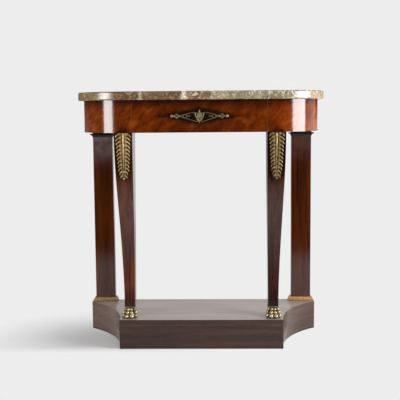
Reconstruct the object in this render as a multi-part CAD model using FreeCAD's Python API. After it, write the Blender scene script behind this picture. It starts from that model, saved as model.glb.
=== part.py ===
"""Pier table with a frieze drawer, as separate solids in millimetres.

+Z is up and the front faces -Y. The origin lies on the floor, under the middle of the marble top.
Pieces are made on the right (+X) and mirrored to the left where the table has a pair.
"""
import FreeCAD, Part
import math
import os

V = FreeCAD.Vector
ACROSS = V(1, 0, 0)
BACKWARD = V(0, 1, 0)
UP = V(0, 0, 1)

# Overall height, floor to marble
table_height = 870.0

# Marble top
marble_thickness = 28.0
marble_overhang = 19.5          # past the frieze at the front and sides
marble_back_overhang = 8.0      # past the back, towards the wall
marble_arris_radius = 4.0

# Frieze, the box that holds the drawer
frieze_width = 811.0
frieze_height = 108.0
frieze_corner_radius = 164.0
frieze_wall = 28.0
frieze_back_thickness = 20.0
frieze_lead = 4.0               # how far the frieze stands ahead of the plinth
rail_thickness = 18.0
rail_tenon_length = 12.0
rail_tenon_width = 30.0
rail_tenon_thickness = 9.0
frieze_block_side = 26.0

# Plinth with incurved sides
plinth_height = 101.0
plinth_depth = 308.0
plinth_front_margin = 14.7      # front corner of the plinth, out from the ankle
plinth_back_margin = 7.0        # back corner of the plinth, out from the side of the frieze
plinth_land = 34.0              # straight length of the side at the back corner
plinth_wall = 20.0
plinth_top_thickness = 18.0
plinth_block_side = 30.0
plinth_block_height = 60.0
plinth_block_spread = 120.0     # from the middle to the inner glue blocks

# Front legs
leg_step_back = 6.0             # front of the leg behind the front of the frieze
leg_top_width = 62.0
leg_top_depth = 95.0
leg_ankle_width = 35.5
leg_ankle_depth = 42.0
leg_ankle_shift = 4.5           # inner edge of the ankle, outwards from the inner edge of the head
leg_setback = 41.0              # front of the ankle behind the front of the head
leg_hock = 23.0                 # backward pull of the shin above the ankle
leg_calf = 12.0                 # forward pull of the back of the leg, high up
leg_heel = 21.0                 # backward pull of the back of the leg, above the ankle
leg_tenon_width = 24.0
leg_tenon_depth = 36.0
leg_tenon_height = 58.0
leg_dowel_radius = 9.0
leg_taper_pole_shares = (0.30, 0.75)    # heights of the poles of the taper, down from the head
leg_bend_pole_shares = (0.375, 0.46)    # heights of the poles of the bend seen from the side

# Leaf mounts on the legs
leaf_length = 155.0
leaf_top_width = 53.0
leaf_drop = 1.0                 # below the frieze
leaf_thickness = 2.2
leaf_stem_width = 7.5
leaf_stem_thickness = 4.6
leaf_pairs = 13
leaf_narrow_share = 0.40
leaf_notch_share = 0.76
leaf_tip_power = 4
leaf_pin_radius = 1.2
leaf_pin_head_radius = 2.2
leaf_pin_length = 14.0
leaf_pin_shares = (0.10, 0.80)

# Paw feet
paw_height = 36.0
paw_width = 57.0
paw_toe_front = 8.0             # toes behind the front of the plinth
paw_heel = 5.0                  # past the back of the ankle
paw_collar_height = 5.0
paw_collar_lip = 2.0
paw_toe_radius = 8.2
paw_toe_setback = 18.0          # outer toes behind the inner ones
paw_toe_spread_shares = (-1, -0.42, 0.42, 1)
paw_knuckle_radius = 8.0
paw_toe_rise_share = 0.20
paw_knuckle_rise_share = 0.50
paw_knuckle_back_share = 0.36
paw_knuckle_spread_share = 0.76
paw_pad_share = 0.84
paw_web_share = 0.88            # thickness of a toe between its two swellings

# Back pilasters with capital and base moulding
pilaster_width = 71.0
pilaster_depth = 26.0
pilaster_inset = 7.5            # outer edge in from the side of the frieze
pilaster_tenon_width = 36.0
pilaster_tenon_thickness = 10.0
pilaster_tenon_length = 50.0
pilaster_foot_tenon_length = 14.0
capital_neck_height = 10.0      # plain band between the flare and the frieze
capital_fillet_height = 4.0
capital_cove_height = 8.0
capital_flare = 9.5
capital_foot_lip = 1.5
capital_steps = 5
base_step_height = 7.0
base_step_lip = 10.0
base_bead_height = 8.5
base_bead_lip = 6.5
base_bead_round = 5.0
base_pin_radius = 1.0
base_pin_head_radius = 1.8
base_pin_length = 16.0
base_pin_spread_share = 0.30

# Drawer
drawer_front_width = 446.0
drawer_front_thickness = 22.0
drawer_reveal = 0.8             # gap beside and above the drawer front
drawer_stop_gap = 0.3
drawer_run_gap = 0.3
drawer_top_gap = 3.0
drawer_box_inset = 3.3          # drawer side in from the end of the opening
drawer_side_gap = 0.6
drawer_side_thickness = 10.0
drawer_back_thickness = 10.0
drawer_back_drop = 6.0          # top of the drawer back below the sides
drawer_back_clearance = 12.0
drawer_bottom_thickness = 6.0
drawer_bottom_lift = 6.0
drawer_groove = 5.0
tail_count = 3
tail_length = 12.0
tail_root_share = 0.46
tail_end_share = 0.70
runner_bearing = 28.0           # runner under the drawer side
guide_width = 16.0
guide_height = 20.0

# Escutcheon on the drawer front
escutcheon_length = 193.0
escutcheon_height = 46.0
escutcheon_thickness = 2.2
escutcheon_bar = 3.2
escutcheon_shield_width = 36.0
escutcheon_shield_thickness = 3.6
escutcheon_ball_radius = 5.6
escutcheon_rosette_radius = 7.0
escutcheon_ring_radius = 6.5
escutcheon_lozenge_share = 0.66
escutcheon_ring_share = 0.50
escutcheon_rosette_share = 0.86
escutcheon_bar_rise_share = 0.72
shield_shares = ((0.00, 1.00), (0.34, 0.72), (1.00, 0.86), (0.78, 0.30),
                 (0.62, -0.34), (0.30, -0.76), (0.00, -1.00))
escutcheon_pin_radius = 1.0
escutcheon_pin_length = 9.0
escutcheon_pin_head_radius = 1.9

# Drawer lock
keyhole_radius = 4.5
keyhole_slot_width = 5.0
keyhole_drop = 12.0
key_pin_radius = 2.2
key_pin_lead = 2.8              # end of the pin in front of the frieze
lock_wall = 1.5
lock_case_width = 54.0
lock_case_depth = 14.0
lock_case_below = 17.0          # case below the keyhole
lock_top_gap = 1.0
lock_flange = 11.0
bolt_travel = 9.0
bolt_body_width = 38.0
bolt_head_width = 14.0
bolt_thickness = 6.0
bolt_rise = 7.0                 # bolt body above the keyhole
bolt_spare = 1.0                # room past the bolt's travel
bolt_talon_radius = 4.0
bolt_clearance = 0.3
spring_thickness = 0.8
spring_width = 5.0
spring_free_share = 0.35
strike_width = 50.0
strike_depth = 15.0
strike_thickness = 1.5
screw_radius = 1.5
screw_head_radius = 3.0
screw_head_height = 1.4
screw_length = 13.0
lock_screw_share = 0.72
strike_screw_share = 0.70

# Overrun of all cutting tools
overrun = 1.0

# Heights and places that follow from the sizes above
marble_bottom = table_height - marble_thickness
frieze_bottom = marble_bottom - frieze_height
frieze_middle = frieze_bottom + frieze_height / 2
ankle_height = plinth_height + paw_height
leg_drop = frieze_bottom - ankle_height
table_depth = marble_overhang + frieze_lead + plinth_depth + marble_back_overhang
marble_front = -table_depth / 2
marble_back = table_depth / 2
frieze_front = marble_front + marble_overhang
plinth_front = frieze_front + frieze_lead
plinth_back = plinth_front + plinth_depth
frieze_half = frieze_width / 2
back_rail_front = plinth_back - frieze_back_thickness
corner_start = drawer_front_width / 2 + drawer_reveal
leg_front = frieze_front + leg_step_back
leg_middle_x = corner_start + leg_top_width / 2
ankle_inner = corner_start + leg_ankle_shift
ankle_middle_x = ankle_inner + leg_ankle_width / 2
plinth_front_half = ankle_inner + leg_ankle_width + plinth_front_margin
plinth_back_half = frieze_half + plinth_back_margin
ankle_front = leg_front + leg_setback
ankle_back = ankle_front + leg_ankle_depth
ankle_middle_y = (ankle_front + ankle_back) / 2
post_front = frieze_front + frieze_wall
post_back = leg_front + leg_top_depth
post_middle_y = (post_front + post_back) / 2
rail_front = frieze_front + drawer_front_thickness + drawer_stop_gap
rail_top = frieze_bottom + rail_thickness
rail_underside = marble_bottom - rail_thickness
drawer_back_face = frieze_front + drawer_front_thickness
drawer_half = corner_start - drawer_box_inset
drawer_low = rail_top + drawer_run_gap
drawer_high = rail_underside - drawer_top_gap
drawer_end = back_rail_front - drawer_back_clearance
drawer_floor = drawer_low + drawer_bottom_lift + drawer_bottom_thickness
guide_inner = drawer_half + drawer_side_gap
guide_outer = guide_inner + guide_width
pilaster_outer = frieze_half - pilaster_inset
pilaster_inner = pilaster_outer - pilaster_width
pilaster_front = plinth_back - pilaster_depth
plate_back = drawer_back_face + lock_wall
case_back = plate_back + lock_case_depth
case_low = frieze_middle - lock_case_below
case_high = drawer_high - lock_top_gap
bolt_y = plate_back + (lock_case_depth - lock_wall) / 2
bolt_low = frieze_middle + bolt_rise
bolt_body_top = case_high - lock_wall - bolt_travel - bolt_spare


def box(x0, x1, y0, y1, z0, z1):
    """A box between two corners."""
    return Part.makeBox(x1 - x0, y1 - y0, z1 - z0, V(x0, y0, z0))


def rod(radius, start, end):
    """A round bar from one point to another."""
    run = end - start
    return Part.makeCylinder(radius, run.Length, start, run)


def round_block(radius, centre, height):
    """An upright cylinder with its seam on the left."""
    block = Part.makeCylinder(radius, height, centre)
    block.rotate(centre, UP, 180)
    return block


def cone(radius, end_radius, start, end):
    """A tapered round bar from one point to another."""
    run = end - start
    return Part.makeCone(radius, end_radius, run.Length, start, run)


def round_pin(face, radius, head_radius, length):
    """A pin driven in from the front, its domed head standing on a face."""
    dome = Part.makeSphere(head_radius, face, BACKWARD * -1, 0, 90, 360)
    return rod(radius, face, face + BACKWARD * length).fuse(dome)


def polygon(points):
    """A flat face with straight edges through the points."""
    return Part.Face(Part.makePolygon(points + points[:1]))


def line(start, end):
    return Part.LineSegment(start, end).toShape()


def arc(start, middle, end):
    return Part.Arc(start, middle, end).toShape()


def bezier(points):
    curve = Part.BezierCurve()
    curve.setPoles(points)
    return curve.toShape()


def fuse_all(shapes):
    """One solid from shapes that overlap."""
    return shapes[0].multiFuse(shapes[1:]).removeSplitter()


def group(shapes):
    return Part.makeCompound(shapes)


def mirrored(shape):
    return shape.mirror(V(0, 0, 0), ACROSS)


def save(name, shape):
    shape.exportStep("parts/" + name + ".step")


def save_pair(name, right):
    save(name + "_right", right)
    save(name + "_left", mirrored(right))


# Marble top

def make_marble_top():
    """Slab with two round front corners and softened arrises."""
    half = frieze_half + marble_overhang
    radius = frieze_corner_radius + marble_overhang
    bend = radius * math.sqrt(0.5)
    z = marble_bottom
    left_middle = V(radius - half - bend, marble_front + radius - bend, z)
    right_middle = V(half - radius + bend, marble_front + radius - bend, z)
    back_left, back_right = V(-half, marble_back, z), V(half, marble_back, z)
    left_side, right_side = V(-half, marble_front + radius, z), V(half, marble_front + radius, z)
    left_front, right_front = V(radius - half, marble_front, z), V(half - radius, marble_front, z)
    edges = [line(back_left, left_side), arc(left_side, left_middle, left_front),
             line(left_front, right_front), arc(right_front, right_middle, right_side),
             line(right_side, back_right), line(back_right, back_left)]
    slab = Part.Face(Part.Wire(edges)).extrude(UP * marble_thickness)
    level = [edge for edge in slab.Edges if edge.BoundBox.ZLength < marble_arris_radius
             and edge.BoundBox.YMin < marble_back - marble_arris_radius]
    return slab.makeFillet(marble_arris_radius, level)


# Frieze

def make_frieze_corner():
    """Stile beside the drawer and the quarter round that follows it."""
    centre = V(frieze_half - frieze_corner_radius, frieze_front + frieze_corner_radius, frieze_bottom)
    ring = round_block(frieze_corner_radius, centre, frieze_height)
    ring = ring.cut(round_block(frieze_corner_radius - frieze_wall, centre, frieze_height))
    quarter = ring.common(box(centre.x, frieze_half, frieze_front, centre.y, frieze_bottom, marble_bottom))
    stile = box(0, centre.x, frieze_front, post_front, frieze_bottom, marble_bottom)
    beside_drawer = box(corner_start, frieze_half, frieze_front, centre.y, frieze_bottom, marble_bottom)
    return fuse_all([quarter, stile]).common(beside_drawer)


def make_frieze_side():
    return box(frieze_half - frieze_wall, frieze_half, frieze_front + frieze_corner_radius, plinth_back,
               frieze_bottom, marble_bottom)


def leg_head_tenon():
    half_x, half_y = leg_tenon_width / 2, leg_tenon_depth / 2
    return box(leg_middle_x - half_x, leg_middle_x + half_x, post_middle_y - half_y, post_middle_y + half_y,
               frieze_bottom, frieze_bottom + leg_tenon_height)


def rail_tenon(rail_low):
    """Tenon on the right end of a front rail."""
    low = rail_low + (rail_thickness - rail_tenon_thickness) / 2
    return box(corner_start, corner_start + rail_tenon_length, post_middle_y - rail_tenon_width / 2,
               post_middle_y + rail_tenon_width / 2, low, low + rail_tenon_thickness)


def make_frieze_post(corner):
    """Block over the leg that takes the leg's tenon and the rails' tenons."""
    block = box(corner_start, corner_start + leg_top_width, post_front, post_back,
                frieze_bottom, marble_bottom)
    return block.cut([corner, leg_head_tenon(), rail_tenon(frieze_bottom), rail_tenon(rail_underside)])


def make_front_rail(rail_low):
    rail = box(-corner_start, corner_start, rail_front, post_back, rail_low, rail_low + rail_thickness)
    tenon = rail_tenon(rail_low)
    return fuse_all([rail, tenon, mirrored(tenon)])


def pilaster_head_tenon():
    middle_x = (pilaster_inner + frieze_half - frieze_wall) / 2
    middle_y = plinth_back - frieze_back_thickness / 2
    half_x, half_y = pilaster_tenon_width / 2, pilaster_tenon_thickness / 2
    return box(middle_x - half_x, middle_x + half_x, middle_y - half_y, middle_y + half_y,
               frieze_bottom, frieze_bottom + pilaster_tenon_length)


def make_frieze_back_rail():
    reach = frieze_half - frieze_wall
    rail = box(-reach, reach, back_rail_front, plinth_back, frieze_bottom, marble_bottom)
    return rail.cut([pilaster_head_tenon(), mirrored(pilaster_head_tenon())])


def make_frieze_blocks():
    """Upright glue blocks in the back corners of the frieze."""
    inside = frieze_half - frieze_wall
    block = box(inside - frieze_block_side, inside, back_rail_front - frieze_block_side, back_rail_front,
                frieze_bottom, marble_bottom)
    return group([block, mirrored(block)])


# Drawer way

def make_runner():
    return box(drawer_half - runner_bearing, guide_outer, post_back, back_rail_front,
               frieze_bottom, rail_top)


def make_guide():
    return box(guide_inner, guide_outer, post_back, back_rail_front, rail_top, rail_top + guide_height)


def make_kicker():
    return box(drawer_half - runner_bearing, guide_outer, post_back, back_rail_front,
               rail_underside, marble_bottom)


# Front legs

def taper_poles(head, ankle):
    """Poles of a leg edge seen from the front, head to ankle, as (place, height)."""
    upper, lower = [frieze_bottom - leg_drop * share for share in leg_taper_pole_shares]
    return [(head, frieze_bottom), (head, upper), (ankle, lower), (ankle, ankle_height)]


def bend_poles(head, ankle, upper_pull, lower_pull):
    """Poles of a leg edge seen from the side, each pull backwards."""
    upper, lower = [frieze_bottom - leg_drop * share for share in leg_bend_pole_shares]
    return [(head, frieze_bottom), (head + upper_pull, upper),
            (ankle + lower_pull, lower), (ankle, ankle_height)]


def shin_poles():
    return bend_poles(leg_front, ankle_front, 0, leg_hock)


def side_points(poles, forward=0):
    return [V(0, y - forward, z) for y, z in poles]


def front_points(poles):
    return [V(x, 0, z) for x, z in poles]


def curved_panel(first, second):
    """Face between two curves that run the same way."""
    edges = [bezier(first), line(first[-1], second[-1]), bezier(second), line(second[0], first[0])]
    return Part.Face(Part.Wire(Part.__sortEdges__(edges)))


def make_front_leg():
    """Leg cut from two profiles, with a tenon at the head and a dowel at the foot."""
    calf = bend_poles(leg_front + leg_top_depth, ankle_back, -leg_calf, leg_heel)
    inner = taper_poles(corner_start, ankle_inner)
    outer = taper_poles(corner_start + leg_top_width, ankle_inner + leg_ankle_width)
    side_cut = curved_panel(side_points(shin_poles()), side_points(calf))
    front_cut = curved_panel(front_points(inner), front_points(outer))
    side_cut.translate(ACROSS * (corner_start - overrun))
    front_cut.translate(BACKWARD * plinth_front * 2)
    wide = side_cut.extrude(ACROSS * (leg_top_width + overrun * 2))
    deep = front_cut.extrude(BACKWARD * plinth_depth * 2)
    leg = wide.common(deep)
    dowel = rod(leg_dowel_radius, V(ankle_middle_x, ankle_middle_y, plinth_height - plinth_top_thickness),
                V(ankle_middle_x, ankle_middle_y, ankle_height))
    return leg.fuse([leg_head_tenon(), dowel]).cut(leaf_pins())


def leg_dowel_hole():
    return rod(leg_dowel_radius, V(ankle_middle_x, ankle_middle_y, 0),
               V(ankle_middle_x, ankle_middle_y, ankle_height))


# Leaf mounts

def leg_face_middle(height):
    """Middle of the leg's front face at a height, along its taper."""
    drop = (frieze_bottom - height) / leg_drop
    return leg_middle_x + (ankle_middle_x - leg_middle_x) * drop * drop * (3 - 2 * drop)


def leaf_half_width(share):
    return leaf_top_width / 2 * (1 - leaf_narrow_share * share) * math.sqrt(1 - share ** leaf_tip_power)


def leaf_outline():
    """Saw-edged leaf: each leaflet points down and outwards."""
    top = frieze_bottom - leaf_drop
    right, left = [], []
    for leaflet in range(leaf_pairs):
        start = leaflet / leaf_pairs
        tip = (leaflet + 1) / (leaf_pairs + 1)
        for share, spread in ((start, leaf_notch_share), (tip, 1)):
            height = top - leaf_length * share
            half = leaf_half_width(share) * spread
            right.append(V(leg_face_middle(height) + half, 0, height))
            left.append(V(leg_face_middle(height) - half, 0, height))
    point = top - leaf_length
    return polygon(right + [V(leg_face_middle(point), 0, point)] + left[::-1])


def strip_on_shin(thickness):
    """Sheet of even thickness on the curved front of the leg."""
    sheet = curved_panel(side_points(shin_poles()), side_points(shin_poles(), thickness))
    sheet.translate(ACROSS * (corner_start - overrun))
    return sheet.extrude(ACROSS * (leg_top_width + overrun * 2))


def stem_outline():
    top = frieze_bottom - leaf_drop
    foot = top - leaf_length
    middle_top, middle_foot = leg_face_middle(top), leg_face_middle(foot)
    half = leaf_stem_width / 2
    return polygon([V(middle_top - half, 0, top), V(middle_top + half, 0, top), V(middle_foot, 0, foot)])


def through_cut(outline):
    outline.translate(BACKWARD * plinth_front * 2)
    return outline.extrude(BACKWARD * plinth_depth * 2)


def shin_at(height):
    """Front of the leg at a height, found on its curve."""
    curve = Part.BezierCurve()
    curve.setPoles(side_points(shin_poles()))
    plane = Part.Plane(V(0, 0, height), UP)
    point = curve.intersect(plane)[0][0]
    return point.Y


def leaf_pins():
    pins = []
    for share in leaf_pin_shares:
        height = frieze_bottom - leaf_drop - leaf_length * share
        middle = leg_face_middle(height)
        face = shin_at(height) - leaf_stem_thickness
        pins.append(round_pin(V(middle, face, height), leaf_pin_radius,
                              leaf_pin_head_radius, leaf_pin_length))
    return pins


def make_leaf_mount():
    leaf = strip_on_shin(leaf_thickness).common(through_cut(leaf_outline()))
    stem = strip_on_shin(leaf_stem_thickness).common(through_cut(stem_outline()))
    return leaf.fuse(stem).removeSplitter().cut(leaf_pins())


# Paw feet

def make_paw_foot():
    """Lion's paw: collar, foot and rounded toes over a flat sole, bored for the leg's dowel."""
    sole = plinth_height
    toe_y = plinth_front + paw_toe_front + paw_toe_radius
    back = ankle_back + paw_heel
    knuckle_y = toe_y + (ankle_middle_y - toe_y) * paw_knuckle_back_share
    toe_z = sole + paw_height * paw_toe_rise_share
    knuckle_z = sole + paw_height * paw_knuckle_rise_share
    half = leg_ankle_width / 2
    pad = paw_width * paw_pad_share / 2
    wires = []
    for half_x, y0, y1, z in ((pad, toe_y, back, sole), (pad, knuckle_y, back, knuckle_z),
                              (half, ankle_front, ankle_back, ankle_height)):
        corners = [V(ankle_middle_x - half_x, y0, z), V(ankle_middle_x + half_x, y0, z),
                   V(ankle_middle_x + half_x, y1, z), V(ankle_middle_x - half_x, y1, z)]
        wires.append(Part.makePolygon(corners + corners[:1]))
    foot = Part.makeLoft(wires, True, True)
    collar = box(ankle_middle_x - half - paw_collar_lip, ankle_middle_x + half + paw_collar_lip,
                 ankle_front - paw_collar_lip, ankle_back + paw_collar_lip,
                 ankle_height - paw_collar_height, ankle_height)
    pieces = [foot, collar]
    reach = paw_width / 2 - paw_toe_radius
    for side in paw_toe_spread_shares:
        tip = V(ankle_middle_x + reach * side, toe_y + paw_toe_setback * side * side, toe_z)
        knuckle = V(ankle_middle_x + reach * side * paw_knuckle_spread_share, knuckle_y, knuckle_z)
        pieces.append(Part.makeSphere(paw_toe_radius, tip))
        pieces.append(Part.makeSphere(paw_knuckle_radius, knuckle))
        pieces.append(cone(paw_toe_radius * paw_web_share, paw_knuckle_radius * paw_web_share, tip, knuckle))
    paw = pieces[0].multiFuse(pieces[1:])
    below = box(ankle_middle_x - paw_width, ankle_middle_x + paw_width,
                plinth_front - paw_width, back + paw_width, 0, sole)
    return paw.cut([below, leg_dowel_hole()])


# Back pilasters

def pilaster_foot_tenon():
    middle_x = (pilaster_inner + pilaster_outer) / 2
    middle_y = (pilaster_front + plinth_back) / 2
    half_x, half_y = pilaster_tenon_width / 2, pilaster_tenon_thickness / 2
    return box(middle_x - half_x, middle_x + half_x, middle_y - half_y, middle_y + half_y,
               plinth_height - pilaster_foot_tenon_length, plinth_height)


def make_pilaster():
    shaft = box(pilaster_inner, pilaster_outer, pilaster_front, plinth_back, plinth_height, frieze_bottom)
    return fuse_all([shaft, pilaster_head_tenon(), pilaster_foot_tenon()]).cut(base_pins())


def pilaster_frame(lip, low, high):
    """Block round the front and sides of the pilaster, standing out by a lip."""
    return box(pilaster_inner - lip, pilaster_outer + lip, pilaster_front - lip, plinth_back, low, high)


def pilaster_shaft_cut():
    return box(pilaster_inner, pilaster_outer, pilaster_front, plinth_back + overrun, 0, table_height)


def capital_section(lip, height):
    left, right, front = pilaster_inner - lip, pilaster_outer + lip, pilaster_front - lip
    corners = [V(left, front, height), V(right, front, height),
               V(right, plinth_back, height), V(left, plinth_back, height)]
    return Part.makePolygon(corners + corners[:1])


def make_capital():
    """Hollow moulding that flares out to a square fillet, with a plain neck up to the frieze."""
    fillet_top = frieze_bottom - capital_neck_height
    fillet_low = fillet_top - capital_fillet_height
    foot = fillet_low - capital_cove_height
    sections = []
    for step in range(capital_steps):
        turn = math.pi / 2 * step / (capital_steps - 1)
        lip = capital_foot_lip + (capital_flare - capital_foot_lip) * (1 - math.cos(turn))
        sections.append(capital_section(lip, foot + capital_cove_height * math.sin(turn)))
    flare = Part.makeLoft(sections, True, True)
    fillet = pilaster_frame(capital_flare, fillet_low, fillet_top)
    neck = pilaster_frame(capital_foot_lip, fillet_top, frieze_bottom)
    return fuse_all([flare, fillet, neck]).cut(pilaster_shaft_cut())


def base_pins():
    """Two round-headed pins through the front of a base moulding."""
    middle = (pilaster_inner + pilaster_outer) / 2
    height = plinth_height + base_step_height / 2
    face = pilaster_front - base_step_lip
    pins = []
    for side in (-1, 1):
        x = middle + side * pilaster_width * base_pin_spread_share
        pins.append(round_pin(V(x, face, height), base_pin_radius, base_pin_head_radius, base_pin_length))
    return pins


def make_pilaster_base():
    """Square step with a rounded bead on it, round three sides of the pilaster."""
    step_top = plinth_height + base_step_height
    bead_top = step_top + base_bead_height
    step = pilaster_frame(base_step_lip, plinth_height, step_top)
    bead = pilaster_frame(base_bead_lip, step_top, bead_top)
    rim = [edge for edge in bead.Edges if edge.BoundBox.ZMin > bead_top - overrun
           and edge.BoundBox.YMin < plinth_back - overrun]
    bead = bead.makeFillet(min(base_bead_round, base_bead_height - overrun), rim)
    return step.fuse(bead).cut([pilaster_shaft_cut()] + base_pins())


# Plinth

def plinth_block(inset, low, high):
    """Straight front and back, sides swept in to the front corners, all drawn in by an inset."""
    sweep_x = plinth_back_half - plinth_front_half
    sweep_y = plinth_depth - plinth_land
    radius = (sweep_x ** 2 + sweep_y ** 2) / (2 * sweep_x)
    centre = V(plinth_front_half + radius, plinth_front, low)
    sweep = round_block(radius + inset, centre, high - low)
    half = plinth_back_half - inset
    block = box(-half, half, plinth_front + inset, plinth_back - inset, low, high)
    return block.cut([sweep, mirrored(sweep)])


def plinth_board_top():
    return plinth_height - plinth_top_thickness


def plinth_shell():
    return plinth_block(0, 0, plinth_board_top()).cut(plinth_block(plinth_wall, 0, plinth_board_top()))


def make_plinth_front():
    front_strip = box(-plinth_back_half, plinth_back_half, plinth_front, plinth_front + plinth_wall,
                      0, plinth_height)
    return plinth_shell().common(front_strip)


def make_plinth_back():
    inside = plinth_back_half - plinth_wall
    return box(-inside, inside, plinth_back - plinth_wall, plinth_back, 0, plinth_board_top())


def make_plinth_side():
    right = box(0, plinth_back_half, plinth_front + plinth_wall, plinth_back, 0, plinth_height)
    return plinth_shell().common(right).cut(make_plinth_back())


def make_plinth_top():
    holes = [leg_dowel_hole(), pilaster_foot_tenon()]
    board = plinth_block(0, plinth_board_top(), plinth_height)
    return board.cut(holes + [mirrored(hole) for hole in holes])


def make_plinth_blocks():
    """Glue blocks behind the front board and before the back board, up against the top board."""
    low = plinth_board_top() - plinth_block_height
    blocks = []
    for y in (plinth_front + plinth_wall, plinth_back - plinth_wall - plinth_block_side):
        for x in (-plinth_block_spread, plinth_block_spread):
            half = plinth_block_side / 2
            blocks.append(box(x - half, x + half, y, y + plinth_block_side, low, plinth_board_top()))
    return group(blocks)


# Drawer

def drawer_tails():
    """Lapped dovetails on the front end of the right drawer side."""
    pitch = (drawer_high - drawer_low) / tail_count
    root, end = pitch * tail_root_share / 2, pitch * tail_end_share / 2
    tails = []
    for tail in range(tail_count):
        z = drawer_low + pitch * (tail + 1 / 2)
        x = drawer_half - drawer_side_thickness
        near, far = drawer_back_face, drawer_back_face - tail_length
        corners = [V(x, near, z - root), V(x, near, z + root), V(x, far, z + end), V(x, far, z - end)]
        tails.append(polygon(corners).extrude(ACROSS * drawer_side_thickness))
    return tails


def drawer_bottom_panel():
    half = drawer_half - drawer_side_thickness + drawer_groove
    low = drawer_low + drawer_bottom_lift
    return box(-half, half, drawer_back_face - drawer_groove, drawer_end,
               low, low + drawer_bottom_thickness)


def make_drawer_side():
    board = box(drawer_half - drawer_side_thickness, drawer_half, drawer_back_face, drawer_end,
                drawer_low, drawer_high)
    return board.multiFuse(drawer_tails()).cut(drawer_bottom_panel())


def make_drawer_back():
    half = drawer_half - drawer_side_thickness
    return box(-half, half, drawer_end - drawer_back_thickness, drawer_end,
               drawer_floor, drawer_high - drawer_back_drop)


def keyhole(y0, y1):
    round_part = rod(keyhole_radius, V(0, y0, frieze_middle), V(0, y1, frieze_middle))
    half = keyhole_slot_width / 2
    return round_part.fuse(box(-half, half, y0, y1, frieze_middle - keyhole_drop, frieze_middle))


def make_drawer_front(screws, pins):
    half = drawer_front_width / 2
    front = box(-half, half, frieze_front, drawer_back_face, frieze_bottom, marble_bottom - drawer_reveal)
    tails = drawer_tails()
    sockets = tails + [mirrored(tail) for tail in tails]
    hole = keyhole(frieze_front - overrun, drawer_back_face + overrun)
    return front.cut(sockets + [drawer_bottom_panel(), hole] + screws + pins)


# Escutcheon

def plate_bar(start, end, width):
    """Flat bar on the drawer front between two points, given as (x, z)."""
    run = V(end[0] - start[0], 0, end[1] - start[1])
    side = V(run.z, 0, -run.x).normalize() * (width / 2)
    first, last = V(start[0], frieze_front, start[1]), V(end[0], frieze_front, end[1])
    bar = polygon([first - side, last - side, last + side, first + side])
    return bar.extrude(BACKWARD * -escutcheon_thickness)


def plate_disc(radius, x, thickness):
    centre = V(x, frieze_front, frieze_middle)
    return rod(radius, centre, centre - BACKWARD * thickness)


def make_escutcheon(pins):
    """Pierced mount: a shield with the keyhole, a lozenge of bars, and rosettes with ball ends."""
    half, rise = escutcheon_length / 2, escutcheon_height / 2
    wide = escutcheon_shield_width / 2
    right = [V(x * wide, frieze_front, frieze_middle + z * rise) for x, z in shield_shares]
    left = [V(-point.x, point.y, point.z) for point in right[1:-1]]
    pieces = [polygon(right + left[::-1]).extrude(BACKWARD * -escutcheon_shield_thickness)]
    bar_z = rise * escutcheon_bar_rise_share
    for hand in (-1, 1):
        lozenge_end = (hand * half * escutcheon_lozenge_share, frieze_middle)
        for z in (-bar_z, bar_z):
            pieces.append(plate_bar((0, frieze_middle + z), lozenge_end, escutcheon_bar))
        ball_x = hand * (half - escutcheon_ball_radius)
        ring_x = hand * half * escutcheon_ring_share
        pieces.append(plate_bar((ring_x, frieze_middle), (ball_x, frieze_middle), escutcheon_bar))
        ring = plate_disc(escutcheon_ring_radius, ring_x, escutcheon_thickness)
        ring_hole = plate_disc(escutcheon_ring_radius - escutcheon_bar, ring_x, escutcheon_thickness)
        pieces.append(ring.cut(ring_hole))
        pieces.append(plate_disc(escutcheon_rosette_radius, hand * half * escutcheon_rosette_share,
                                 escutcheon_shield_thickness))
        pieces.append(plate_disc(escutcheon_ball_radius, ball_x, escutcheon_shield_thickness))
    plate = pieces[0].multiFuse(pieces[1:])
    return plate.cut([keyhole(frieze_front - escutcheon_shield_thickness * 2, frieze_front)] + pins)


def escutcheon_pins():
    half, rise = escutcheon_length / 2, escutcheon_height / 2
    outer = half * escutcheon_rosette_share
    upper = (rise + keyhole_radius) / 2
    face = frieze_front - escutcheon_shield_thickness
    pins = []
    for x, z in ((-outer, 0), (outer, 0), (0, upper)):
        pins.append(round_pin(V(x, face, frieze_middle + z), escutcheon_pin_radius,
                              escutcheon_pin_head_radius, escutcheon_pin_length))
    return pins


# Lock

def make_lock_plate(screws):
    half = lock_case_width / 2 + lock_flange
    plate = box(-half, half, drawer_back_face, plate_back, case_low, case_high)
    return plate.cut([keyhole(drawer_back_face - overrun, plate_back + overrun)] + screws)


def bolt_head(clearance, top):
    half_x, half_y = bolt_head_width / 2 + clearance, bolt_thickness / 2 + clearance
    return box(-half_x, half_x, bolt_y - half_y, bolt_y + half_y, bolt_low, top)


def make_lock_case():
    """Box open towards the plate, with a slot in its top for the bolt."""
    half = lock_case_width / 2
    shell = box(-half, half, plate_back, case_back, case_low, case_high)
    room = box(lock_wall - half, half - lock_wall, plate_back - overrun, case_back - lock_wall,
               case_low + lock_wall, case_high - lock_wall)
    return shell.cut([room, bolt_head(bolt_clearance, case_high + overrun)])


def make_lock_bolt():
    """Bolt body with a rounded notch for the key, and the head that rises out of the case."""
    half_x, half_y = bolt_body_width / 2, bolt_thickness / 2
    body = box(-half_x, half_x, bolt_y - half_y, bolt_y + half_y, bolt_low, bolt_body_top)
    notch = rod(bolt_talon_radius, V(0, plate_back, bolt_low), V(0, case_back, bolt_low))
    return body.fuse(bolt_head(0, case_high)).removeSplitter().cut(notch)


def make_key_pin():
    return rod(key_pin_radius, V(0, frieze_front - key_pin_lead, frieze_middle),
               V(0, case_back - lock_wall, frieze_middle))


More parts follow.
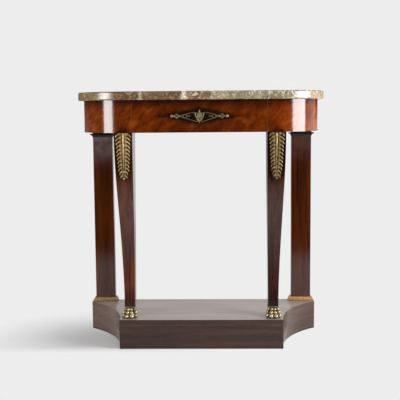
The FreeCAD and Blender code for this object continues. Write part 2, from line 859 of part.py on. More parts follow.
def make_lock_spring():
    """Hairpin spring between the side of the bolt and the wall of the case."""
    inner = bolt_body_width / 2 + bolt_clearance
    outer = lock_case_width / 2 - lock_wall
    radius = (outer - inner) / 2
    middle = (inner + outer) / 2
    low = case_low + lock_wall
    bend = (bolt_low + bolt_body_top) / 2
    y0, y1 = bolt_y - spring_width / 2, bolt_y + spring_width / 2
    free_end = bend - (bend - low) * spring_free_share
    bow = rod(radius, V(middle, y0, bend), V(middle, y1, bend))
    bow = bow.cut([rod(radius - spring_thickness, V(middle, y0, bend), V(middle, y1, bend)),
                   box(inner, outer, y0, y1, low, bend)])
    long_leg = box(outer - spring_thickness, outer, y0, y1, low, bend)
    short_leg = box(inner, inner + spring_thickness, y0, y1, free_end, bend)
    return bow.fuse([long_leg, short_leg]).removeSplitter()


def screw(face, inward):
    """Countersunk screw whose flat head lies in a face."""
    neck = face + inward * screw_head_height
    head = cone(screw_head_radius, screw_radius, face, neck)
    return head.fuse(rod(screw_radius, neck, face + inward * screw_length)).removeSplitter()


def lock_screws():
    screws = []
    height = (case_high - case_low) / 2 * lock_screw_share
    middle = (case_high + case_low) / 2
    for side in (-1, 1):
        for z in (middle - height, middle + height):
            x = side * (lock_case_width + lock_flange) / 2
            screws.append(screw(V(x, plate_back, z), BACKWARD * -1))
    return screws


def strike_plate():
    half_y = strike_depth / 2
    return box(-strike_width / 2, strike_width / 2, bolt_y - half_y, bolt_y + half_y,
               rail_underside, rail_underside + strike_thickness)


def strike_screws():
    x = strike_width / 2 * strike_screw_share
    return [screw(V(side * x, bolt_y, rail_underside), UP) for side in (-1, 1)]


def strike_mortise():
    return bolt_head(bolt_clearance * 2, case_high + bolt_travel + bolt_spare)


def make_upper_rail():
    return make_front_rail(rail_underside).cut([strike_plate(), strike_mortise()] + strike_screws())


os.makedirs("parts", exist_ok=True)

save("marble_top", make_marble_top())

corner = make_frieze_corner()
save_pair("frieze_corner", corner)
save_pair("frieze_post", make_frieze_post(corner))
save_pair("frieze_side", make_frieze_side())
save("frieze_back_rail", make_frieze_back_rail())
save("frieze_glue_blocks", make_frieze_blocks())
save("lower_front_rail", make_front_rail(frieze_bottom))
save("upper_front_rail", make_upper_rail())
save_pair("drawer_runner", make_runner())
save_pair("drawer_guide", make_guide())
save_pair("drawer_kicker", make_kicker())

save_pair("front_leg", make_front_leg())
save_pair("leaf_mount", make_leaf_mount())
save("leaf_mount_pins", group(leaf_pins() + [mirrored(pin) for pin in leaf_pins()]))
save_pair("paw_foot", make_paw_foot())

save_pair("pilaster", make_pilaster())
save_pair("pilaster_capital", make_capital())
save_pair("pilaster_base", make_pilaster_base())
save("pilaster_base_pins", group(base_pins() + [mirrored(pin) for pin in base_pins()]))

save("plinth_top_board", make_plinth_top())
save("plinth_front_board", make_plinth_front())
save_pair("plinth_side", make_plinth_side())
save("plinth_back_board", make_plinth_back())
save("plinth_glue_blocks", make_plinth_blocks())

save("drawer_front", make_drawer_front(lock_screws(), escutcheon_pins()))
save_pair("drawer_side", make_drawer_side())
save("drawer_back", make_drawer_back())
save("drawer_bottom", drawer_bottom_panel())

save("escutcheon", make_escutcheon(escutcheon_pins()))
save("escutcheon_pins", group(escutcheon_pins()))

save("lock_plate", make_lock_plate(lock_screws()))
save("lock_case", make_lock_case())
save("lock_bolt", make_lock_bolt())
save("lock_key_pin", make_key_pin())
save("lock_spring", make_lock_spring())
save("lock_screws", group(lock_screws()))
save("lock_strike", strike_plate().cut([strike_mortise()] + strike_screws()))
save("strike_screws", group(strike_screws()))
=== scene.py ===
# Dresses the pier table: marble, polished woods, gilt-bronze mounts, the studio light and the camera.
import functools
import math
import bmesh
import bpy
from mathutils import Matrix, Vector
from mathutils.bvhtree import BVHTree


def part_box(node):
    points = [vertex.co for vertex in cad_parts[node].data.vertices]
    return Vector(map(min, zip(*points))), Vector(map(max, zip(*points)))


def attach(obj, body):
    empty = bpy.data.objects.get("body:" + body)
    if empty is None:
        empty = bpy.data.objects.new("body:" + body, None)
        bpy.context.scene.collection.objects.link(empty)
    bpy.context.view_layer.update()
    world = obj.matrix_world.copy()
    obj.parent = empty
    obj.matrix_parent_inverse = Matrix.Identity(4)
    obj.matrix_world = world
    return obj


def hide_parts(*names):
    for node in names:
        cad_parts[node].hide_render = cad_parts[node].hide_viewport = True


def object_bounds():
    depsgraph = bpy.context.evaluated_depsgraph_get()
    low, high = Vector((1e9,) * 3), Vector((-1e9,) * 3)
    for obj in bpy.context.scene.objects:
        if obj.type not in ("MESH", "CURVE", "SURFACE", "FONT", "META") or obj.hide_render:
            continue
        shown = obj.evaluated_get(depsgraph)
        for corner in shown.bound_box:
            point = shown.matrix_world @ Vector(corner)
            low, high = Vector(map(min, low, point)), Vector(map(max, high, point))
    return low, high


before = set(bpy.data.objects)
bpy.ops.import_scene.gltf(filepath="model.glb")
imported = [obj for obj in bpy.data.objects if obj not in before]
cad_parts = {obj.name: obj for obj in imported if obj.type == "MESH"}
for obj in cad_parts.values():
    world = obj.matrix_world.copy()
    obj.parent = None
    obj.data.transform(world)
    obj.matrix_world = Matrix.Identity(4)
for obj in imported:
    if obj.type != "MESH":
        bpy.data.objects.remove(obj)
cad_low, cad_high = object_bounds()
MM = 0.001
SIDES = ("left", "right")

# Camera, fitted to the photograph: place in metres, angles in degrees
CAMERA_PLACE = Vector((0.06912, -2.8624, 0.80539))
CAMERA_PITCH = 6.218
CAMERA_YAW = -1.4721
CAMERA_ROLL = -0.47723
LENS_MM = 73.8
SENSOR_MM = 36

# Studio, in metres
BACKDROP = "#EDEDED"
FLOOR_REACH = 60.0
SHEET = "#E6E6E6"
DARK_FLOOR = "#1A1A1A"
SHEET_FRONT = -1.05
SHEET_FADE = 0.7
SHADOW_PLACE = (-0.36, -0.1, 0.0)
SHADOW_RADIUS = 0.05
SHADOW_FADE = 0.5
SHADOW_SHARE = 0.95
SHADOW_FRONT = -0.19
SHADOW_EDGE = 0.06
SHADOW_SHEET = "#E1E1E1"
ROOM = 0.04
BACK_WALL = 0.8
BACK_WALL_SHARES = (0.90, 0.985)
BRIGHT_FLOOR_BACK = (0.3, 1.0)
BRIGHT_FLOOR_RIGHT = (-0.1, 0.2)
AMBIENT = 0.3
# Softboxes: place, target, width, height and radiance
SOFTBOXES = {
    "key_softbox": ((2.2, -0.76, 1.0), (0.3, 0.0, 0.6), 1.38, 0.9, 17.5),
    "left_softbox": ((-1.89, -1.36, 0.82), (-0.3, 0.0, 0.75), 0.85, 0.5, 17.0),
    "front_softbox": ((0.2, -2.2, 2.6), (0.0, 0.0, 0.5), 1.6, 0.9, 4.0),
    "right_reflector": ((2.2, 0.8, 0.9), (0.36, -0.05, 0.8), 1.3, 1.2, 0.8)}

# Softened copies of the solids
MERGE = 0.002 * MM
FLAT_ANGLE = math.radians(0.4)
ARRIS_ANGLE = math.radians(35)
MARBLE_ARRIS = 0.3 * MM
WOOD_ARRIS = 0.7 * MM
VENEER_ARRIS = 0.12 * MM
PLINTH_ARRIS = 1.0 * MM
METAL_ARRIS = 0.5 * MM
KEY_PIN_ARRIS = 1.8 * MM
UPRIGHT = math.sin(math.radians(30))

# Steps round and along the castings
LEAFLET_STEPS = 10
GROUND_ROWS = 64
GROUND_COLUMNS = 12
MIDRIB_STEPS = 40
STEM_SIDES = 14
BAR_SIDES = 12
BAR_STEPS = 14
RING_STEPS = 26
COLLAR_STEPS = 48
SHIELD_STEPS = 72
ROSETTE_STEPS = 32
KNOB_STEPS = 20
BUTTON_STEPS = 14
KNOB_RINGS = 8
KNOB_FLAT_SHARE = 0.4

# Leaf mounts
LEAFLET_PAIRS = 13
LEAF_RISE = 3.4 * MM
LEAF_GROUND = 1.4 * MM
LEAF_GROUND_TIP = 0.5 * MM
LEAF_STEM_TOP = 3.1 * MM
LEAF_STEM_TIP = 1.2 * MM
LEAF_TIP_SHARE = 0.75
LEAF_TIP_POWER = 16
LEAF_TAPER_SHARE = 0.4
BUD_RADIUS = 2.8 * MM
BUD_STRETCH = 1.5
LEAFLET_ARCH_POWER = 0.7
LEAFLET_RELIEF_POWER = 0.5
# The scalloped edge of the ground plate: its middle line and its waves, as shares of the leaf's half width
SCALLOP_SHARES = (0.93, 0.035)
# Where the stem starts above the tip and ends below the top, in leaflet pitches
STEM_END_SHARES = (1.1, 0.3)
# How a leaflet's middle line climbs with its way out, with the square of that and with its cube
LEAFLET_SWEEP_SHARES = (0.5, -0.2, -1.1)
# Along a leaflet, from the stem to its tip: way out, width in leaflet pitches and share of the full rise
LEAFLET_SHARES = [
    (0.0, 1.10, 0.70), (0.12, 1.08, 0.30), (0.19, 1.06, 0.38), (0.28, 1.04, 0.66), (0.38, 1.02, 0.72),
    (0.48, 0.90, 0.74), (0.56, 0.62, 0.78), (0.64, 0.42, 0.84), (0.72, 0.38, 0.90), (0.80, 0.46, 1.0),
    (0.88, 0.56, 1.0), (0.95, 0.48, 0.9), (1.0, 0.22, 0.6)]

# Paw feet
PAW_VOXEL = 0.8 * MM
PAW_SMOOTHING = 2
RELIEF_SMOOTHING = 30
RELIEF_REACH = 1.6 * MM
# Painted contact shade: over this height above its sole the paw's relief falls away
SOLE_SHADE_HEIGHT = 8.0 * MM
COLLAR_RADIUS = 1.9 * MM
COLLAR_SQUARENESS = 6
ANKLE_SLICE = 0.5 * MM
# Swellings of half a paw in mm, from its middle, front and sole: place and radii
PAW_TOES = [
    ((8.4, 8.0, 7.4), (6.9, 8.0, 7.4)), ((6.8, 18.5, 17.8), (5.8, 6.8, 5.8)),
    ((5.2, 27.0, 27.0), (4.8, 6.0, 4.6)), ((21.4, 23.0, 7.0), (6.2, 8.0, 6.8)),
    ((19.4, 32.0, 16.8), (5.6, 7.2, 5.8)), ((15.4, 37.5, 26.0), (4.8, 6.4, 4.8))]
PAW_CLAWS = [((8.4, 2.8, 3.0), (2.6, 4.0, 3.0)), ((21.6, 17.0, 3.0), (2.4, 4.0, 3.0))]
PAW_CORE = [
    ((0.0, 46.0, 10.0), (21.0, 31.0, 10.0)), ((0.0, 54.0, 19.0), (19.5, 22.0, 15.0)),
    ((0.0, 67.0, 8.0), (15.0, 11.5, 8.0))]

# Escutcheon: rises in metres, and places and sizes in mm from its middle
BAR_RADIUS = 1.05 * MM
BAR_LIFT_SHARE = 0.4
KNOB_LIFT_SHARE = 0.3
SHIELD_RISE = 2.6 * MM
KEY_EYE = 4.5
KEY_SLOT_HALF = 2.5
KEY_SLOT_DROP = 12.0
SHIELD_OUTLINE = [
    (0.0, 14.5), (5.0, 10.5), (10.0, 10.0), (18.0, 13.0), (15.5, 6.0), (13.5, -2.0), (9.0, -12.0),
    (4.5, -18.0), (0.0, -22.5)]
# From the keyhole to the shield's edge: way out and share of the rise
SHIELD_SHARES = [
    (0.0, -0.3), (0.0, 0.6), (0.12, 0.85), (0.3, 0.7), (0.38, 0.6), (0.64, 0.5), (0.76, 0.85), (0.9, 0.8),
    (1.0, -0.3)]
# The shield's groove: its depth, the way out between which it lies, and its angle and spread in radians
GROOVE_SHARE = 0.6
GROOVE_REACH_SHARES = (0.35, 0.7)
GROOVE_ANGLE = 0.45
GROOVE_SPREAD = 0.6
ROSETTE_X = 75.0
ROSETTE_HALF_LENGTH = 9.0
ROSETTE_HALF_HEIGHT = 8.0
ROSETTE_BUTTON = 1.5
ROSETTE_POWER = 1.4
PETAL_SHARE = 0.08
# From a rosette's edge to its middle: way out and share of the rise
ROSETTE_SHARES = [(1.0, -0.2), (0.95, 0.6), (0.78, 1.0), (0.54, 0.4), (0.26, 0.35)]
# Half the frame: start, bend and end of each bar, and the middle and radius of the ring
FRAME_BARS = [
    ((18.0, 11.5), (38.0, 9.0), (64.0, 1.4)), ((6.0, -19.5), (34.0, -11.0), (64.0, -1.4)),
    ((30.0, 0.0), (36.0, 2.6), (42.0, 1.0)), ((30.0, 0.0), (36.0, -2.6), (42.0, -1.0)),
    ((55.0, 3.4), (58.0, 0.0), (55.0, -3.4))]
FRAME_RING = ((47.5, 0.2), 5.4)
# Knobs of half the frame: place, radius, stretch and axis
FRAME_KNOBS = [
    ((0.0, 15.6), 2.2, 1.3, (0, 0, 1)), ((0.0, 19.4), 1.4, 1.2, (0, 0, 1)),
    ((0.0, -21.4), 1.6, 1.0, (0, 0, 1)), ((65.0, 0.0), 3.0, 0.7, (1, 0, 0)),
    ((84.4, 0.0), 2.4, 0.6, (1, 0, 0)), ((90.8, 0.0), 5.1, 1.05, (1, 0, 0))]

# How bright the gilding is drawn where a piece has no relief of its own, from 0 in a hollow to 1 on a crest:
# low shares draw dirt and painted shade, high ones clean gilding and painted highlights
BASE_RELIEF_SHARES = (0.4, 1.0)
GROUND_RELIEF_SHARE = 0.2
STEM_RELIEF_SHARE = 1.0
BUD_RELIEF_SHARE = 0.8
COLLAR_RELIEF_SHARE = 0.45

# Frieze and legs, read from the frame
corner_low, corner_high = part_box("frieze_corner_right")
side_low, side_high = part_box("frieze_side_right")
leaf_low, leaf_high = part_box("leaf_mount_right")
FRIEZE_FRONT = corner_low.y
FRIEZE_MIDDLE = (corner_low.z + corner_high.z) / 2
CORNER_RADIUS = side_low.y - FRIEZE_FRONT
CORNER_X = side_high.x - CORNER_RADIUS
CORNER_Y = side_low.y
SEAM_X = corner_low.x
LEG_X = (leaf_low.x + leaf_high.x) / 2

# Wear, dirt, darkening, and painted light and shade: the heights or ways along the frieze between which they
# fade
BLOOM_HEIGHTS = (corner_low.z - 150 * MM, corner_low.z)
# Painted shade along the plinth's foot, where it meets the floor
FOOT_SHADE_HEIGHTS = (3 * MM, 8 * MM)
ANKLE_DARKENING_HEIGHTS = (140 * MM, 215 * MM)
LEG_WEAR_HEIGHTS = (168 * MM, 420 * MM)
LEAF_DARKENING_HEIGHTS = (leaf_low.z - 20 * MM, leaf_low.z + 40 * MM)
# Painted shade along the frieze's top edge, under the marble's overhang
MARBLE_SHADE_HEIGHTS = (corner_high.z - 34 * MM, corner_high.z)
# Painted light: the frieze's veneer is drawn darker in the middle and paler towards its curved ends
END_LIGHT_REACH = (50 * MM, 480 * MM)
RUBBED_REACH = (2.2 * MM, 4.2 * MM)
# Dark marks on the frieze, round the escutcheon and above the leaf mounts: middle, half length and
# height, how ragged the edge is, from where to where it fades in shares of these halves, and its strength
FRIEZE_MARKS = [
    ((0.0, 0.0, FRIEZE_MIDDLE), (132 * MM, 31 * MM), 0.5, (0.95, 1.6), 0.95),
    ((LEG_X, 0.0, corner_low.z), (34 * MM, 26 * MM), 0.0, (0.5, 1.25), 0.75)]

# Stone and wood tones: place in the pattern and colour
MARBLE_BANDS = [
    (0.0, "#C0A080"), (0.10, "#9A7858"), (0.20, "#6E5032"), (0.262, "#684C30"), (0.273, "#C8B698"),
    (0.284, "#76583E"), (0.43, "#70563A"), (0.445, "#EFE6D0"), (0.462, "#946E52"), (0.53, "#866248"),
    (0.56, "#BBAE8C"), (0.66, "#8C8264"), (0.72, "#A59A7C"), (0.86, "#7E7458"), (1.0, "#A88E6E")]
CLAST_TONES = [(0.1, "#40382A"), (0.35, "#6E6248"), (0.55, "#8E5E48"), (0.75, "#9A8C6C"), (0.9, "#EAE0C6")]
FLAME_TONES = [(0.32, "#481904"), (0.44, "#5E2404"), (0.55, "#702E05"), (0.68, "#8A4210")]
PALE_LEG_TONES = [(0.32, "#34170D"), (0.46, "#461F10"), (0.58, "#562812"), (0.72, "#643216")]
DARK_LEG_TONES = [(0.32, "#200D08"), (0.46, "#2E140B"), (0.58, "#3C1A0D"), (0.72, "#4A2210")]
PILASTER_TONES = [(0.32, "#2C1006"), (0.46, "#3E1A09"), (0.58, "#481F0A"), (0.72, "#542810")]
PLINTH_TONES = [(0.32, "#28150F"), (0.48, "#351D15"), (0.60, "#3E231B"), (0.72, "#47291F")]
# Painted light: the plinth's incurved sides are drawn much paler than its front, as if a low lamp lit them
PALE_LIT_SIDE_TONES = [(0.32, "#5F4941"), (0.48, "#6A5046"), (0.60, "#70544A"), (0.72, "#765A50")]
DARK_LIT_SIDE_TONES = [(0.32, "#402D26"), (0.48, "#49342B"), (0.60, "#503A31"), (0.72, "#564037")]
PEAR_TONES = [(0.35, "#0E0C0B"), (0.65, "#1C1817")]
PINE_TONES = [(0.35, "#8F6A3E"), (0.55, "#B08A58"), (0.7, "#C3A272")]
OAK_TONES = [(0.35, "#7A5C38"), (0.55, "#977448"), (0.7, "#AC8B5C")]
# Painted shade under the marble's overhang, and the colour of the dark marks on the frieze
SHADE_AND_MARK_TONE = "#1C0A06"
RUBBED_EDGE = "#6A4026"
DUST = "#C2B0AA"
BLOOM = "#7A6C6E"

# Size of the grain along x, y and z in mm
LEG_GRAIN = (14, 14, 220)
PILASTER_GRAIN = (16, 16, 240)
PLINTH_SIDE_GRAIN = (260, 260, 18)
PLINTH_GRAIN = (260, 40, 18)
PEAR_GRAIN = (60, 5, 5)
PINE_GRAIN = (160, 8, 8)
OAK_GRAIN = (6, 150, 6)
FILE_MARKS = (12, 0.8, 0.8)
# The flame figure's clouds, feathers and pores: slant in radians and sizes in mm. The pores are drawn 1.5 mm
# wide so that they show.
FLAME_FIGURE = [(0.7, (26, 26, 44)), (0.75, (9, 20, 34)), (0.6, (1.5, 1.5, 14))]
# How many times finer than the bands of a wood's grain its pores, fibres and drifts of dust are
PORE_FINENESS = 9.0
FIBRE_FINENESS = 7.0
DUST_FINENESS = 0.6

# Sizes of the patterns
MARBLE_BEND = 30 * MM
MARBLE_WARP = 46 * MM
MARBLE_SLANT = 130 * MM
MARBLE_CLOUD = 26 * MM
MARBLE_CLAST = 6.5 * MM
MARBLE_PATCH = 48 * MM
MARBLE_SPECK = 5 * MM
BLOOM_PATCH = 35 * MM
POLISH_WAVE = 45 * MM
POLISH_WAVE_DEPTH = 1.0 * MM
GRAIN_DEPTH = 0.3 * MM
GILT_MOTTLE = 9 * MM
GILT_CHASING = 2.2 * MM
GILT_CHASING_DEPTH = 0.2 * MM
METAL_STAIN = 11 * MM

# Node settings that many materials share
BLENDED = {"data_type": "RGBA"}
MULTIPLIED = {"data_type": "RGBA", "blend_type": "MULTIPLY"}
EASED = {"interpolation_type": "SMOOTHSTEP"}


# Helpers


def linear(hex_colour):
    """An sRGB hex colour as linear red, green, blue and alpha."""
    shares = [int(hex_colour[i:i + 2], 16) / 255 for i in (1, 3, 5)]
    return [s / 12.92 if s <= 0.04045 else ((s + 0.055) / 1.055) ** 2.4 for s in shares] + [1.0]


def add(tree, kind, links=None, stops=(), **settings):
    """Adds a node with its settings, colour stops and links; a short kind is a shader node's. A link gives an
    input a value, a socket, or a node, which stands for the first of its outputs in use."""
    node = tree.nodes.new(kind if "Node" in kind else "ShaderNode" + kind)
    for name, value in settings.items():
        setattr(node, name, value)
    for name, value in (links or {}).items():
        if isinstance(value, bpy.types.Node):
            value = next(socket for socket in value.outputs if socket.enabled)
        if isinstance(value, bpy.types.NodeSocket):
            tree.links.new(value, node.inputs[name])
        else:
            node.inputs[name].default_value = value
    for i, (place, colour) in enumerate(stops):
        stop = node.color_ramp.elements[i] if i < 2 else node.color_ramp.elements.new(place)
        stop.position = place
        stop.color = linear(colour)
    return node


def start_material(name):
    """An empty procedural material, the function that adds its nodes, and its object coordinates."""
    material = bpy.data.materials.new(name)
    material.use_nodes = True
    material.node_tree.nodes.clear()
    new = functools.partial(add, material.node_tree)
    return material, new, new("TexCoord").outputs["Object"]


def start_grained(name, grain, figure):
    """A material with a grain: its stretched coordinates, and noise on them with the figure's settings."""
    material, new, place = start_material(name)
    stretched = new("Mapping", {"Vector": place, "Scale": [1 / (size * MM) for size in grain]})
    bands = new("TexNoise", {"Vector": stretched, "Scale": 1.0, **figure})
    return material, new, place, stretched, bands


def link_object(name, data):
    """A new object in the scene."""
    made = bpy.data.objects.new(name, data)
    bpy.context.scene.collection.objects.link(made)
    return made


def plain(piece):
    """Turns a piece and its modifiers into a plain mesh."""
    bpy.context.view_layer.update()
    evaluated = piece.evaluated_get(bpy.context.evaluated_depsgraph_get())
    mesh = bpy.data.meshes.new_from_object(evaluated)
    piece.modifiers.clear()
    piece.data = mesh
    return piece


def smooth(piece):
    """Shades a piece smooth."""
    piece.data.polygons.foreach_set("use_smooth", [True] * len(piece.data.polygons))
    return piece


def shape_piece(name, shape):
    """A linked piece from a bmesh, which is freed."""
    mesh = bpy.data.meshes.new(name)
    shape.to_mesh(mesh)
    shape.free()
    return link_object(name, mesh)


def dress(piece, material, body, slot, *nodes):
    """Gives a piece its material and body, and hides the nodes that it stands for; its slot is not used."""
    piece.data.materials.clear()
    piece.data.materials.append(material)
    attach(piece, body)
    if nodes:
        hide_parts(*nodes)
    return piece


# Materials


def breccia_marble():
    """Polished breccia marble: brown, olive and tan stone broken by cream veins, under a glassy polish."""
    material, new, place = start_material("polished_breccia_marble")
    bend = new("TexNoise", {"Vector": place, "Scale": 1 / MARBLE_BEND, "Detail": 5})
    shift = new("VectorMath", {0: bend.outputs["Color"], 1: (0.5, 0.5, 0.5)}, operation="SUBTRACT")
    warp = new("VectorMath", {0: shift, "Scale": MARBLE_WARP}, operation="SCALE")
    bent = new("VectorMath", {0: place, 1: warp})
    bent_x, bent_y = new("SeparateXYZ", {0: bent}).outputs[:2]
    # Bands of stone from the left end to the right, with the two veins that cross the front. They slant and
    # wander more and more towards the back of the slab.
    depth = new("Math", {0: bent_y, 1: cad_low.y}, operation="SUBTRACT")
    broad = new("TexNoise", {"Vector": place, "Scale": 1 / MARBLE_SLANT, "Detail": 3})
    slant = new("MapRange", {0: broad, 1: 0.3, 2: 0.7, 3: -0.5, 4: 1.3})
    east = new("Math", {0: depth, 1: slant, 2: bent_x}, operation="MULTIPLY_ADD")
    share = new("MapRange", {0: east, 1: cad_low.x, 2: cad_high.x})
    bands = new("ValToRGB", {0: share}, MARBLE_BANDS)
    clouds = new("TexNoise", {"Vector": bent, "Scale": 1 / MARBLE_CLOUD, "Detail": 6, "Roughness": 0.65})
    cloud = new("MapRange", {0: clouds, 1: 0.3, 2: 0.7, 3: 0.66, 4: 1.3})
    clouded = new("Mix", {0: 1.0, 6: bands, 7: cloud}, **MULTIPLIED)
    # Angular clasts in patches, mostly right of the pale vein
    clasts = new("TexVoronoi", {"Vector": bent, "Scale": 1 / MARBLE_CLAST})
    tint = new("SeparateColor", {0: clasts.outputs["Color"]})
    clast = new("ValToRGB", {0: tint}, CLAST_TONES)
    broken = new("MapRange", {0: share, 1: 0.40, 2: 0.47, 3: 0.18, 4: 0.48})
    patches = new("TexNoise", {"Vector": bent, "Scale": 1 / MARBLE_PATCH, "Detail": 3})
    patch = new("MapRange", {0: patches, 1: 0.35, 2: 0.62, 3: 0.35, 4: 1.2})
    shattered = new("Math", {0: broken, 1: patch}, operation="MULTIPLY")
    stone = new("Mix", {0: shattered, 6: clouded, 7: clast}, **BLENDED)
    specks = new("TexNoise", {"Vector": place, "Scale": 1 / MARBLE_SPECK, "Detail": 3})
    fleck = new("MapRange", {0: specks, 1: 0.3, 2: 0.7, 3: 0.62, 4: 1.36})
    flecked = new("Mix", {0: 1.0, 6: stone, 7: fleck}, **MULTIPLIED)
    rough = new("MapRange", {0: specks, 3: 0.2, 4: 0.32})
    new("OutputMaterial", {0: new("BsdfPrincipled", {
        "Base Color": flecked, "Roughness": rough, "IOR": 1.58, "Specular IOR Level": 0.62})})
    return material


def flame_mahogany():
    """French-polished flame mahogany veneer: slanting orange-brown feathers under a clear glassy polish."""
    material, new, place = start_material("french_polished_flame_mahogany")
    veneer = new("Attribute", attribute_name="veneer").outputs["Vector"]
    along = new("SeparateXYZ", {0: veneer}).outputs[0]
    height = new("SeparateXYZ", {0: place}).outputs[2]
    broad, slant, thin = [
        new("Mapping", {"Vector": veneer, "Rotation": (0, lean, 0), "Scale": [size * MM for size in sizes]},
            vector_type="TEXTURE") for lean, sizes in FLAME_FIGURE]
    clouds = new("TexNoise", {"Vector": broad, "Scale": 1.0, "Detail": 4, "Distortion": 0.6})
    feather = new("TexNoise", {
        "Vector": slant, "Scale": 1.0, "Detail": 4, "Roughness": 0.6, "Distortion": 0.4})
    figure = new("Mix", {0: 0.34, 2: clouds, 3: feather})
    tone = new("ValToRGB", {0: figure}, FLAME_TONES)
    pores = new("TexNoise", {"Vector": thin, "Scale": 1.0, "Detail": 2})
    pore = new("MapRange", {0: pores, 1: 0.35, 2: 0.6, 3: 0.82, 4: 1.05})
    wood = new("Mix", {0: 1.0, 6: tone, 7: pore}, **MULTIPLIED)
    across = new("Math", {0: along}, operation="ABSOLUTE")
    # Painted light: darker in the middle and paler towards the curved ends, where the side lamps fall
    end_light = new("MapRange", {0: across, 1: END_LIGHT_REACH[0], 2: END_LIGHT_REACH[1], 3: 0.62, 4: 1.55}, **EASED)
    end_lit = new("Mix", {0: 1.0, 6: wood, 7: end_light}, **MULTIPLIED)
    # Painted shade darkens the top edge, which the marble's overhang shades; dark marks lie round the
    # escutcheon and above the leaf mounts
    shade_and_marks = new("MapRange", {0: height, 1: MARBLE_SHADE_HEIGHTS[0], 2: MARBLE_SHADE_HEIGHTS[1], 3: 0.0, 4: 0.75},
                 **EASED)
    spread = new("CombineXYZ", {0: across, 2: height})
    for middle, (half_length, half_height), ragged, (dark, clear), strength in FRIEZE_MARKS:
        offset = new("VectorMath", {0: spread, 1: middle}, operation="SUBTRACT")
        folded = new("VectorMath", {0: offset}, operation="ABSOLUTE")
        reach = new("VectorMath", {0: folded, 1: (1 / half_length, 0, 1 / half_height)},
                    operation="DOT_PRODUCT")
        uneven = new("Math", {0: feather, 1: ragged, 2: reach}, operation="MULTIPLY_ADD")
        mark = new("MapRange", {0: uneven, 1: dark, 2: clear, 3: strength, 4: 0.0}, **EASED)
        shade_and_marks = new("Math", {0: shade_and_marks, 1: mark}, operation="MAXIMUM")
    darkened = new("Mix", {0: shade_and_marks, 6: end_lit, 7: linear(SHADE_AND_MARK_TONE)}, **BLENDED)
    # The veneer's upright edge beside the drawer is rubbed to a paler line
    from_seam = new("Math", {0: across, 1: SEAM_X}, operation="SUBTRACT")
    rubbed = new("MapRange", {0: from_seam, 1: RUBBED_REACH[0], 2: RUBBED_REACH[1], 3: 0.2, 4: 0.0})
    corner_only = new("Math", {0: from_seam, 1: 0.0}, operation="GREATER_THAN")
    edge = new("Math", {0: rubbed, 1: corner_only}, operation="MULTIPLY")
    finished = new("Mix", {0: edge, 6: darkened, 7: linear(RUBBED_EDGE)}, **BLENDED)
    rough = new("MapRange", {0: feather, 3: 0.3, 4: 0.5})
    wavy = new("TexNoise", {"Vector": place, "Scale": 1 / POLISH_WAVE, "Detail": 1})
    polish = new("Bump", {"Strength": 0.06, "Distance": POLISH_WAVE_DEPTH, "Height": wavy})
    new("OutputMaterial", {0: new("BsdfPrincipled", {
        "Base Color": finished, "Roughness": rough, "Specular IOR Level": 0.0, "Coat Weight": 1.0,
        "Coat Roughness": 0.14, "Coat IOR": 1.5, "Coat Normal": polish})})
    return material


